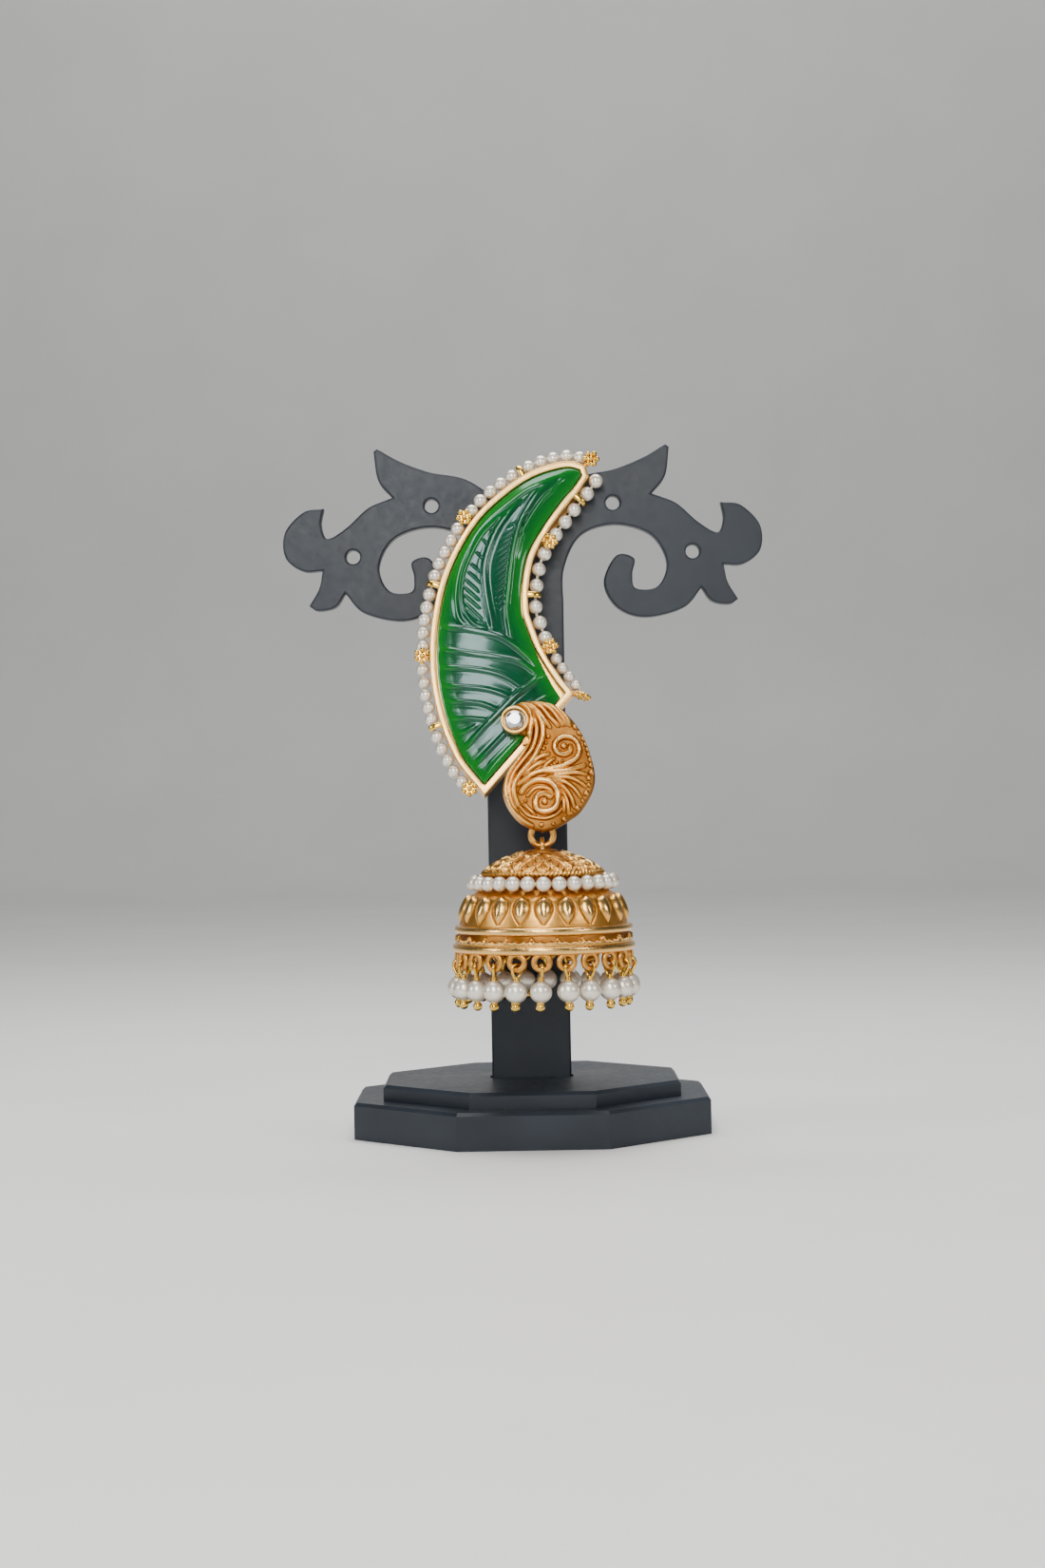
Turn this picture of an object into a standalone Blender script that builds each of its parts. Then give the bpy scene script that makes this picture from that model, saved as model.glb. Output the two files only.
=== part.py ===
"""Jhumka earring hanging on its display stand.

World frame: X to the right, Y to the back, Z up, origin at the centre of the
underside of the base. Sizes are in millimetres and become metres when a mesh
is turned into an object. The earring's crescent and paisley are drawn on a
leaning plane with its own axes: u to the right, v up along the plane and w
out of it, toward the viewer.
"""

import math

import bmesh
import bpy
from mathutils import Matrix, Vector

MM = 0.001

# Display stand: base
BASE_ACROSS_FLATS = 55.0
BASE_LOWER_HEIGHT = 5.7
BASE_UPPER_HEIGHT = 2.45
BASE_UPPER_SETBACK = 4.5
BASE_CHAMFER = 0.5
BASE_SIDES = 8
SLOT_DEPTH = 5.0

# Display stand: flat tree with two scroll arms
PLATE_THICKNESS = 3.0
COLUMN_WIDTH = 12.5
ARM_REACH = 37.8
ARM_FOOT_HEIGHT = 76.2
ARM_RISE = 31.3
HOLE_DIAMETER = 2.2
HOLE_SIDES = 12

# Clearance between pieces that only rest on each other
SEAT_GAP = 0.3
JEWEL_GAP = 0.15

# Crescent: carved stone in a gold setting
LEAN_ANGLE = math.radians(12.0)
POST_RISE = 17.8
PLAQUE_STAND_OFF = 6.6
CRESCENT_WIDTH = 22.75
CRESCENT_HEIGHT = 50.2
CRESCENT_LEFT = 13.5
CRESCENT_FOOT = 40.5
BEZEL_WALL = 1.0
BEZEL_DEPTH = 2.75
BEZEL_FLOOR = 0.6
BEZEL_LIP = 0.35
BEZEL_ROUNDING = 0.2
SOLDER_FOOT_SHARE = 0.8
STONE_CROWN = 1.15
STONE_SHOULDER = 0.15
FULL_CROWN_SHARE = 0.25
CRESCENT_SECTION_COUNT = 26
TIP_CROWDING = 1.3

# Pearls along the crescent, and the gold flowers between them
BORDER_PEARL_DIAMETER = 1.96
FLOWER_DIAMETER = 2.7
FLOWER_HEIGHT = 0.85
FLOWER_LOBES = 6
FLOWER_LOBE_DEPTH = 0.14
TAB_WIDTH = 1.0
TAB_THICKNESS = 0.4
BEAD_SIDES = 10
BEAD_LATITUDES = tuple(math.radians(angle) for angle in (-60.0, 0.0, 60.0))
STRING_BEVEL_RESOLUTION = 3
STRING_PARTING = 0.4
MITER_LIMIT = 0.62

# Paisley plaque in front of the crescent's lower end
PAISLEY_WIDTH = 14.1
PAISLEY_HEIGHT = 20.5
PAISLEY_LEFT = 3.75
PAISLEY_FOOT = 48.45
PAISLEY_THICKNESS = 1.15
PAISLEY_RELIEF = 0.38
PAISLEY_BEVEL = 0.35
PAISLEY_LIFT = 0.2
CUP_DIAMETER = 4.3
CUP_HEIGHT = 0.9
CUP_FLOOR = 0.1
CUP_WALL = 0.6
GEM_FACETS = 12
GEM_RISE = 0.85

# Jump ring and the eyes on either side of it
RING_X = 2.15
RING_DIAMETER = 4.4
RING_WIRE = 1.0
RING_DROP = 0.35
EYE_RADIUS = 1.1
EYE_WIRE = 0.66
RING_SIDES = 16
WIRE_SIDES = 6

# Ear post, hidden behind the crescent
POST_DIAMETER = 1.0
POST_PAD_DIAMETER = 4.0
POST_PAD_THICKNESS = 0.5
CLUTCH_DIAMETER = 6.0
CLUTCH_THICKNESS = 2.0

# Bell
BELL_RIM_DIAMETER = 27.7
BELL_HEIGHT = 15.2
BELL_NECK_RISE = 0.82
PETAL_COUNT = 22
PETAL_RELIEF = 0.4
WAVE_RELIEF = 0.3
BELL_PEARL_DIAMETER = 2.3
BELL_PEARL_CIRCLE = 21.0
BELL_PEARL_DROP = 0.315

# Loops on the rim and the pearl drops on them
DROP_COUNT = 22
DROP_CIRCLE = 26.2
DROP_TURN = math.radians(-2.0)
RIM_LOOP_RADIUS = 1.15
RIM_LOOP_WIRE = 0.9
RIM_LOOP_SEAT = 0.15
DROP_LOOP_RADIUS = 0.95
DROP_LOOP_WIRE = 0.52
DROP_STEM_LENGTH = 0.5
DROP_PEARL_DIAMETER = 3.45
DROP_BALL_DIAMETER = 1.5
LOOP_SIDES = 10
LOOP_WIRE_SIDES = 5

# Right arm of the stand, from the column's edge round the scroll to the top
# of the tree: share of ARM_REACH, share of ARM_RISE, "smooth" or "corner"
ARM_OUTLINE = (
    (0.165, 0.22, "smooth"),
    (0.170, 0.38, "smooth"),
    (0.240, 0.545, "smooth"),
    (0.385, 0.60, "smooth"),
    (0.535, 0.545, "smooth"),
    (0.600, 0.405, "smooth"),
    (0.560, 0.285, "smooth"),
    (0.468, 0.277, "smooth"),
    (0.455, 0.347, "smooth"),
    (0.463, 0.427, "smooth"),
    (0.390, 0.443, "smooth"),
    (0.336, 0.31, "smooth"),
    (0.390, 0.18, "smooth"),
    (0.508, 0.13, "smooth"),
    (0.667, 0.175, "smooth"),
    (0.743, 0.274, "corner"),
    (0.785, 0.205, "smooth"),
    (0.857, 0.188, "smooth"),
    (0.894, 0.213, "corner"),
    (0.852, 0.30, "smooth"),
    (0.836, 0.39, "corner"),
    (0.918, 0.39, "smooth"),
    (0.990, 0.459, "smooth"),
    (0.990, 0.586, "smooth"),
    (0.910, 0.688, "smooth"),
    (0.828, 0.704, "corner"),
    (0.839, 0.618, "smooth"),
    (0.812, 0.552, "smooth"),
    (0.733, 0.605, "smooth"),
    (0.640, 0.704, "smooth"),
    (0.540, 0.752, "corner"),
    (0.598, 0.84, "smooth"),
    (0.616, 0.985, "corner"),
    (0.600, 1.0, "corner"),
    (0.508, 0.936, "smooth"),
    (0.384, 0.879, "smooth"),
    (0.230, 0.838, "smooth"),
    (0.082, 0.713, "smooth"),
)
ARM_STEPS = 2

# Holes of one arm: share of ARM_REACH, share of ARM_RISE
ARM_HOLES = (
    (0.378, 0.708),
    (0.708, 0.457),
)

# Outer and inner side of the stone, tip to lower end:
# share of CRESCENT_WIDTH, share of CRESCENT_HEIGHT
STONE_OUTER = (
    (0.990, 0.992),
    (0.890, 1.000),
    (0.680, 0.972),
    (0.480, 0.912),
    (0.280, 0.820),
    (0.106, 0.677),
    (0.022, 0.530),
    (0.000, 0.376),
    (0.050, 0.225),
    (0.161, 0.091),
    (0.310, 0.000),
)
STONE_INNER = (
    (1.000, 0.976),
    (0.940, 0.936),
    (0.856, 0.892),
    (0.725, 0.809),
    (0.620, 0.720),
    (0.577, 0.620),
    (0.576, 0.542),
    (0.600, 0.500),
    (0.672, 0.411),
    (0.784, 0.324),
    (0.855, 0.280),
)

# Across the stone: share of its width, share of its crown height
STONE_SECTION = (
    (0.00, 0.0),
    (0.12, 0.55),
    (0.32, 0.92),
    (0.50, 1.0),
    (0.68, 0.92),
    (0.88, 0.55),
    (1.00, 0.0),
)

# Flowers as shares of the way along each pearl border, from the tip down;
# the one at the tip serves both borders, and each string ends at its last one
OUTER_FLOWERS = (0.02, 0.335, 0.650, 0.952)
INNER_FLOWERS = (0.350, 0.781, 1.0)

# Flower from its back to its top: share of its radius, share of FLOWER_HEIGHT
FLOWER_SECTION = (
    (0.80, 0.0),
    (1.00, 0.45),
    (0.55, 1.0),
)

# Paisley outline, from the cup's left over the top and round:
# share of PAISLEY_WIDTH, share of PAISLEY_HEIGHT, "smooth" or "corner"
PAISLEY_OUTLINE = (
    (0.110, 0.962, "smooth"),
    (0.284, 1.000, "smooth"),
    (0.454, 0.991, "smooth"),
    (0.623, 0.946, "smooth"),
    (0.854, 0.758, "smooth"),
    (0.976, 0.527, "smooth"),
    (0.990, 0.344, "smooth"),
    (0.870, 0.172, "smooth"),
    (0.715, 0.083, "smooth"),
    (0.433, 0.000, "smooth"),
    (0.221, 0.052, "smooth"),
    (0.031, 0.219, "smooth"),
    (0.000, 0.329, "smooth"),
    (0.040, 0.452, "smooth"),
    (0.209, 0.592, "smooth"),
    (0.288, 0.700, "smooth"),
    (0.200, 0.745, "corner"),
    (0.060, 0.800, "smooth"),
)
CUP_PLACE = (0.143, 0.840)

# Raised ribs of the paisley, each a curve through shares of its width and
# height, with its half width in millimetres
PAISLEY_RIBS = (
    (0.42, ((0.36, 0.86), (0.33, 0.68), (0.16, 0.46), (0.11, 0.30), (0.20, 0.16), (0.40, 0.10))),
    (0.36, ((0.47, 0.88), (0.44, 0.68), (0.28, 0.48), (0.22, 0.36))),
    (0.36, ((0.46, 0.92), (0.62, 0.85), (0.76, 0.72))),
    (0.34, ((0.58, 0.40), (0.70, 0.34), (0.86, 0.34))),
    (0.34, ((0.56, 0.34), (0.66, 0.24), (0.76, 0.18))),
    (0.34, ((0.60, 0.46), (0.76, 0.46), (0.90, 0.47))),
)

# Spiral scrolls of the paisley: centre shares, outer radius as a share of
# PAISLEY_WIDTH, turns, start angle in degrees
PAISLEY_SPIRALS = (
    (0.674, 0.634, 0.125, 1.15, 200.0),
    (0.452, 0.223, 0.150, 1.15, 100.0),
)

RIB_END_WIDTH = 0.6
SPIRAL_STEPS_PER_TURN = 12
SPIRAL_CLOSING = 0.62

# Round stone above its girdle: share of its radius, share of GEM_RISE
GEM_CROWN = (
    (1.00, 0.0),
    (0.86, 0.55),
    (0.55, 1.0),
)
GEM_CULET_SHARE = 0.8

# End ball of a drop, from below: share of its radius, share of its height
BALL_SECTION = (
    (0.72, -0.70),
    (0.96, 0.25),
)
BALL_SEAT = 0.9

# Bell, outer side from the top of the cap down to the rim: share of the rim
# radius, share of BELL_HEIGHT, form of the row
BELL_OUTSIDE = (
    (0.145, 0.000, "plain"),
    (0.440, 0.105, "plain"),
    (0.645, 0.215, "plain"),
    (0.645, 0.365, "plain"),
    (0.725, 0.408, "plain"),
    (0.835, 0.478, "plain"),
    (0.868, 0.555, "petal"),
    (0.895, 0.650, "petal"),
    (0.920, 0.738, "plain"),
    (0.968, 0.745, "plain"),
    (0.965, 0.805, "plain"),
    (0.950, 0.862, "wave"),
    (0.955, 0.918, "plain"),
    (1.000, 0.926, "plain"),
    (1.000, 1.000, "plain"),
)

# Bell, inner side from the rim up to the crown, in the same shares
BELL_INSIDE = (
    (0.905, 1.000, "plain"),
    (0.865, 0.780, "plain"),
    (0.565, 0.430, "plain"),
    (0.188, 0.210, "plain"),
)


def lerp(a, b, share):
    return a + (b - a) * share


def smooth_curve(points, steps, corners=(), closed=False):
    """Curve through the points; a point whose number is in corners stays sharp."""
    count = len(points)
    spans = count if closed else count - 1
    result = []
    for i in range(spans):
        start = points[i]
        end = points[(i + 1) % count]
        before = points[i - 1] if closed or i > 0 else start
        after = points[(i + 2) % count] if closed or i + 2 < count else end
        leave = (end - before) / 2 if i not in corners else end - start
        arrive = (after - start) / 2 if (i + 1) % count not in corners else end - start
        for k in range(steps):
            t = k / steps
            result.append(
                start * (2 * t**3 - 3 * t**2 + 1)
                + leave * (t**3 - 2 * t**2 + t)
                + end * (3 * t**2 - 2 * t**3)
                + arrive * (t**3 - t**2)
            )
    if not closed:
        result.append(points[-1].copy())
    return result


def path_lengths(path):
    lengths = [0.0]
    for a, b in zip(path, path[1:]):
        lengths.append(lengths[-1] + (b - a).length)
    return lengths


def resample(points, count, crowding):
    """The given number of points along an open polyline, closer together at its start."""
    lengths = path_lengths(points)
    shares = [(i / (count - 1)) ** crowding for i in range(count)]
    return [point_along(points, lengths, lengths[-1] * share) for share in shares]


def point_along(points, lengths, distance):
    for i in range(len(points) - 1):
        if distance <= lengths[i + 1] or i == len(points) - 2:
            share = (distance - lengths[i]) / (lengths[i + 1] - lengths[i])
            return points[i].lerp(points[i + 1], min(max(share, 0.0), 1.0))
    return points[-1].copy()


def signed_area(outline):
    return sum(a.x * b.y - b.x * a.y for a, b in zip(outline, outline[1:] + outline[:1])) / 2


def offset_outline(outline, distance):
    """Closed outline moved outward by distance, with its sharpest corners cut back."""
    turn = 1.0 if signed_area(outline) > 0 else -1.0
    moved = []
    for i, point in enumerate(outline):
        before = (point - outline[i - 1]).normalized()
        after = (outline[(i + 1) % len(outline)] - point).normalized()
        normal = Vector((before.y + after.y, -before.x - after.x)) * turn
        normal.normalize()
        straight = Vector((after.y, -after.x)) * turn
        miter = 1.0 / max(normal.dot(straight), MITER_LIMIT)
        moved.append(point + normal * distance * miter)
    return moved


def mesh_from(verts, faces, name):
    mesh = bpy.data.meshes.new(name)
    mesh.from_pydata([tuple(v) for v in verts], [], faces)
    work = bmesh.new()
    work.from_mesh(mesh)
    bmesh.ops.recalc_face_normals(work, faces=work.faces)
    bmesh.ops.triangulate(work, faces=[f for f in work.faces if len(f.verts) > 4])
    work.to_mesh(mesh)
    work.free()
    return mesh


def loft(rings, name, closed=False):
    """Closed body through rings of equally many points, capped unless it closes on itself."""
    size = len(rings[0])
    verts = [point for ring in rings for point in ring]
    faces = []
    bands = len(rings) if closed else len(rings) - 1
    for i in range(bands):
        low = i * size
        high = ((i + 1) % len(rings)) * size
        for k in range(size):
            after = (k + 1) % size
            faces.append((low + k, low + after, high + after, high + k))
    if not closed:
        faces.append(tuple(range(size - 1, -1, -1)))
        faces.append(tuple(range((len(rings) - 1) * size, len(rings) * size)))
    return mesh_from(verts, faces, name)


def circle(centre, side, up, radius, count):
    return [
        centre
        + side * (radius * math.cos(2 * math.pi * k / count))
        + up * (radius * math.sin(2 * math.pi * k / count))
        for k in range(count)
    ]


def turned(profile, sides, name, centre=Vector((0.0, 0.0, 0.0))):
    """Body turned about Z through profile points (radius, height)."""
    rings = [
        circle(centre + Vector((0, 0, height)), Vector((1, 0, 0)), Vector((0, 1, 0)), radius, sides)
        for radius, height in profile
    ]
    return loft(rings, name)


def ring_mesh(centre, side, up, radius, wire_radius, sides, wire_sides, name):
    """Torus about centre whose wire runs in the plane of side and up."""
    axis = side.cross(up)
    rings = []
    for k in range(sides):
        angle = 2 * math.pi * k / sides
        out = side * math.cos(angle) + up * math.sin(angle)
        rings.append(circle(centre + out * radius, out, axis, wire_radius, wire_sides))
    return loft(rings, name, closed=True)


def bead_ring(centres, directions, radius, name):
    """Closed ring of round beads, each fused to the next."""
    rings = []
    up = Vector((0, 0, 1))
    for centre, direction in zip(centres, directions):
        side = direction.cross(up).normalized()
        for latitude in BEAD_LATITUDES:
            middle = centre + direction * (radius * math.sin(latitude))
            rings.append(circle(middle, side, up, radius * math.cos(latitude), BEAD_SIDES))
    return loft(rings, name, closed=True)


def temporary(mesh):
    thing = bpy.data.objects.new("work", mesh)
    bpy.context.scene.collection.objects.link(thing)
    return thing


def combined(base_mesh, tool_mesh, operation):
    """Result of a Boolean of two meshes; both are used up."""
    base = temporary(base_mesh)
    tool = temporary(tool_mesh)
    modifier = base.modifiers.new("join", "BOOLEAN")
    modifier.operation = operation
    modifier.object = tool
    graph = bpy.context.evaluated_depsgraph_get()
    result = bpy.data.meshes.new_from_object(base.evaluated_get(graph))
    result.name = base_mesh.name
    bpy.data.objects.remove(base)
    bpy.data.objects.remove(tool)
    return result


def joined(meshes, name):
    """Several separate bodies in one mesh, as the tool of a Boolean."""
    work = bmesh.new()
    for mesh in meshes:
        work.from_mesh(mesh)
    result = bpy.data.meshes.new(name)
    work.to_mesh(result)
    work.free()
    return result


def material(name, colour, roughness, metallic):
    made = bpy.data.materials.new(name)
    made.use_nodes = True
    shader = made.node_tree.nodes["Principled BSDF"]
    shader.inputs["Base Color"].default_value = (*colour, 1.0)
    shader.inputs["Roughness"].default_value = roughness
    shader.inputs["Metallic"].default_value = metallic
    return made


def place(name, mesh, finish, location=(0.0, 0.0, 0.0), rotation=(0.0, 0.0, 0.0), parent=None):
    """Object from a mesh in millimetres, at a location in millimetres."""
    if not mesh.materials:
        mesh.transform(Matrix.Scale(MM, 4))
        mesh.materials.append(finish)
        mesh.shade_smooth()
        mesh.set_sharp_from_angle(angle=math.radians(40))
    thing = bpy.data.objects.new(name, mesh)
    thing.location = Vector(location) * MM
    thing.rotation_euler = rotation
    thing.parent = parent
    bpy.context.scene.collection.objects.link(thing)
    return thing


def pivot(name, location, parent=None):
    empty = bpy.data.objects.new(name, None)
    empty.location = Vector(location) * MM
    empty.parent = parent
    bpy.context.scene.collection.objects.link(empty)
    return empty


def octagon_tier(across_flats, bottom, top, name):
    corner = across_flats / 2 / math.cos(math.pi / BASE_SIDES)
    cut = BASE_CHAMFER / math.cos(math.pi / BASE_SIDES)
    profile = (
        (corner, bottom),
        (corner, top - BASE_CHAMFER),
        (corner - cut, top),
    )
    tier = turned(profile, BASE_SIDES, name)
    tier.transform(Matrix.Rotation(math.pi / BASE_SIDES, 4, "Z"))
    return tier


def box_mesh(low, high, name):
    rings = [
        [Vector((x, y, z)) for x, y in ((low.x, low.y), (high.x, low.y), (high.x, high.y), (low.x, high.y))]
        for z in (low.z, high.z)
    ]
    return loft(rings, name)


def base_top():
    return BASE_LOWER_HEIGHT + BASE_UPPER_HEIGHT


def stand_base_mesh():
    """Two-tier octagonal base with a slot for the foot of the tree."""
    lower = octagon_tier(BASE_ACROSS_FLATS, 0.0, BASE_LOWER_HEIGHT, "stand_base")
    upper = octagon_tier(
        BASE_ACROSS_FLATS - 2 * BASE_UPPER_SETBACK,
        BASE_LOWER_HEIGHT - SEAT_GAP,
        base_top(),
        "upper_tier",
    )
    body = combined(lower, upper, "UNION")
    half = Vector((COLUMN_WIDTH / 2 + SEAT_GAP, PLATE_THICKNESS / 2 + SEAT_GAP, 0))
    slot = box_mesh(
        Vector((-half.x, -half.y, base_top() - SLOT_DEPTH)),
        Vector((half.x, half.y, base_top() + SLOT_DEPTH)),
        "slot",
    )
    return combined(body, slot, "DIFFERENCE")


def arm_curve():
    """Right half of the tree's outline, from the column's edge up to the top."""
    points = [Vector((x * ARM_REACH, ARM_FOOT_HEIGHT + z * ARM_RISE)) for x, z, kind in ARM_OUTLINE]
    corners = {i for i, row in enumerate(ARM_OUTLINE) if row[2] == "corner"}
    points[0].x = COLUMN_WIDTH / 2
    return smooth_curve(points, ARM_STEPS, corners)


def post_height():
    """Height of the leaning plane's origin, tied to the tree's crossbar."""
    return ARM_FOOT_HEIGHT + POST_RISE


def post_hole_height():
    return post_height() - PLAQUE_STAND_OFF * math.tan(LEAN_ANGLE)


def stand_tree_mesh():
    """Flat plate: column, crossbar with two mirrored scrolls, and its holes."""
    foot = base_top() - SLOT_DEPTH + SEAT_GAP
    right = [Vector((COLUMN_WIDTH / 2, foot))] + arm_curve()
    left = [Vector((-p.x, p.y)) for p in reversed(right)]
    outline = right + left
    half = PLATE_THICKNESS / 2
    rings = [[Vector((p.x, y, p.y)) for p in outline] for y in (-half, half)]
    plate = loft(rings, "stand_tree")
    spots = [(0.0, post_hole_height())]
    for across, up in ARM_HOLES:
        height = ARM_FOOT_HEIGHT + up * ARM_RISE
        spots.append((across * ARM_REACH, height))
        spots.append((-across * ARM_REACH, height))
    drills = []
    for x, z in spots:
        rings = [
            circle(Vector((x, y, z)), Vector((1, 0, 0)), Vector((0, 0, 1)), HOLE_DIAMETER / 2, HOLE_SIDES)
            for y in (-PLATE_THICKNESS, PLATE_THICKNESS)
        ]
        drills.append(loft(rings, "drill"))
    return combined(plate, joined(drills, "drills"), "DIFFERENCE")


def crescent_side(table):
    points = [
        Vector((x * CRESCENT_WIDTH - CRESCENT_LEFT, y * CRESCENT_HEIGHT - CRESCENT_FOOT)) for x, y in table
    ]
    return resample(smooth_curve(points, 6), CRESCENT_SECTION_COUNT, TIP_CROWDING)


def stone_outline():
    return crescent_side(STONE_OUTER) + crescent_side(STONE_INNER)[::-1]


def carved_stone_mesh():
    """Crescent stone with a low domed face, seated in the pocket of the setting."""
    floor = BEZEL_LIP - BEZEL_DEPTH + BEZEL_FLOOR + JEWEL_GAP
    rings = []
    for outer, inner in zip(crescent_side(STONE_OUTER), crescent_side(STONE_INNER)):
        width = (outer - inner).length
        crown = STONE_CROWN * min(1.0, width / (CRESCENT_WIDTH * FULL_CROWN_SHARE))
        ring = [Vector((outer.x, outer.y, floor))]
        for across, rise in STONE_SECTION:
            flat = outer.lerp(inner, across)
            ring.append(Vector((flat.x, flat.y, lerp(STONE_SHOULDER, crown, rise))))
        ring.append(Vector((inner.x, inner.y, floor)))
        rings.append(ring)
    return loft(rings, "carved_stone")


def flat_ring(outline, w):
    return [Vector((p.x, p.y, w)) for p in outline]


def border_offset():
    return JEWEL_GAP + BEZEL_WALL + JEWEL_GAP + BORDER_PEARL_DIAMETER / 2


def border_paths():
    """Centre lines of the outer and the inner pearl border, top flower first."""
    line = offset_outline(stone_outline(), border_offset())
    outer = line[:CRESCENT_SECTION_COUNT]
    inner = line[CRESCENT_SECTION_COUNT:][::-1]
    top = outer[0].lerp(inner[0], 0.5)
    return [top] + outer, [top] + inner


def shortened(path, start, end_share):
    """Part of a path from a length along it to a share of its whole length."""
    lengths = path_lengths(path)
    end = lengths[-1] * end_share
    first = start * 1.5
    last = end - start / 2
    kept = [point for point, length in zip(path, lengths) if first < length < last]
    return [point_along(path, lengths, start)] + kept + [point_along(path, lengths, end)]


def flower_spots():
    """Each flower's centre on the leaning plane; the top one is shared."""
    outer, inner = border_paths()
    spots = []
    for path, shares in ((outer, OUTER_FLOWERS), (inner, INNER_FLOWERS)):
        lengths = path_lengths(path)
        spots += [point_along(path, lengths, lengths[-1] * share) for share in shares]
    return spots


def flower_mesh(centre):
    """Rosette with six lobes round a low dome."""
    sides = FLOWER_LOBES * 3
    rings = []
    for share, height in FLOWER_SECTION:
        ring = []
        for k in range(sides):
            angle = 2 * math.pi * k / sides
            lobe = 1.0 - FLOWER_LOBE_DEPTH * (1.0 - math.cos(FLOWER_LOBES * angle)) / 2
            radius = FLOWER_DIAMETER / 2 * share * lobe
            w = height * FLOWER_HEIGHT + JEWEL_GAP
            ring.append(Vector((centre.x + radius * math.cos(angle), centre.y + radius * math.sin(angle), w)))
        rings.append(ring)
    return loft(rings, "flower")


def tab_mesh(centre, outline):
    """Solder tab from a flower to the nearest part of the bezel's wall."""
    near = min(outline, key=lambda p: (p - centre).length)
    along = (near - centre).normalized()
    across = Vector((-along.y, along.x)) * (TAB_WIDTH / 2)
    end = near + along * (BEZEL_WALL / 2)
    corners = (centre - across, end - across, end + across, centre + across)
    rings = [flat_ring(corners, w) for w in (JEWEL_GAP, JEWEL_GAP + TAB_THICKNESS)]
    return loft(rings, "tab")


def crescent_setting_mesh():
    """Back plate and bezel wall round the stone, with the flowers soldered on."""
    stone = stone_outline()
    pocket = offset_outline(stone, JEWEL_GAP)
    outside = offset_outline(stone, JEWEL_GAP + BEZEL_WALL)
    rounded = offset_outline(stone, JEWEL_GAP + BEZEL_WALL - BEZEL_ROUNDING)
    back = BEZEL_LIP - BEZEL_DEPTH
    rings = [
        flat_ring(outside, back),
        flat_ring(outside, BEZEL_LIP - BEZEL_ROUNDING),
        flat_ring(rounded, BEZEL_LIP),
        flat_ring(pocket, BEZEL_LIP),
        flat_ring(pocket, back + BEZEL_FLOOR),
    ]
    body = loft(rings, "crescent_setting")
    for spot in flower_spots():
        flower = combined(flower_mesh(spot), tab_mesh(spot, outside), "UNION")
        body = combined(body, flower, "UNION")
    return body


def pearl_string(name, path, finish, location, rotation):
    """One border of pearls as a tube of their diameter, under the flowers."""
    curve = bpy.data.curves.new(name, "CURVE")
    curve.dimensions = "3D"
    curve.bevel_depth = BORDER_PEARL_DIAMETER / 2 * MM
    curve.bevel_resolution = STRING_BEVEL_RESOLUTION
    curve.use_fill_caps = True
    spline = curve.splines.new("POLY")
    spline.points.add(len(path) - 1)
    for point, spot in zip(spline.points, path):
        point.co = (spot.x * MM, spot.y * MM, -BORDER_PEARL_DIAMETER / 2 * MM, 1.0)
    curve.materials.append(finish)
    thing = bpy.data.objects.new(name, curve)
    thing.location = Vector(location) * MM
    thing.rotation_euler = rotation
    bpy.context.scene.collection.objects.link(thing)


def paisley_back():
    return STONE_CROWN + PAISLEY_LIFT


def paisley_point(across, up):
    return Vector((across * PAISLEY_WIDTH - PAISLEY_LEFT, up * PAISLEY_HEIGHT - PAISLEY_FOOT))


def rib_mesh(points, half_width):
    """Rounded rib lying on the paisley's face."""
    face = paisley_back() + PAISLEY_THICKNESS
    rings = []
    for i, point in enumerate(points):
        direction = (points[min(i + 1, len(points) - 1)] - points[max(i - 1, 0)]).normalized()
        side = Vector((direction.y, -direction.x, 0.0))
        taper = RIB_END_WIDTH if i in (0, len(points) - 1) else 1.0
        centre = Vector((point.x, point.y, face))
        up = Vector((0, 0, PAISLEY_RELIEF / half_width))
        rings.append(circle(centre, side, up, half_width * taper, WIRE_SIDES))
    return loft(rings, "rib")


def spiral_points(centre, radius, turns, start):
    steps = int(SPIRAL_STEPS_PER_TURN * turns)
    points = []
    for k in range(steps + 1):
        angle = start - 2 * math.pi * turns * k / steps
        reach = radius * (1.0 - SPIRAL_CLOSING * k / steps)
        points.append(centre + Vector((math.cos(angle), math.sin(angle))) * reach)
    return points


def ring_centre():
    """Centre of the jump ring: its top hangs in the eye behind the paisley's foot."""
    foot = plaque_to_world(Vector((0, -PAISLEY_FOOT, paisley_back())))
    behind = foot.y + PAISLEY_THICKNESS / 4 + SEAT_GAP + RING_WIRE / 2
    return Vector((RING_X, behind, foot.z - RING_DROP))


def ring_radius():
    return (RING_DIAMETER - RING_WIRE) / 2


def ring_top():
    return ring_centre() + Vector((0, 0, ring_radius()))


def ring_bottom():
    return ring_centre() - Vector((0, 0, ring_radius()))


def plaque_matrix():
    turn = Matrix.Rotation(math.pi / 2 - LEAN_ANGLE, 4, "X")
    return Matrix.Translation((0, -PLAQUE_STAND_OFF, post_height())) @ turn


def plaque_to_world(point):
    return plaque_matrix() @ point


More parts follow.
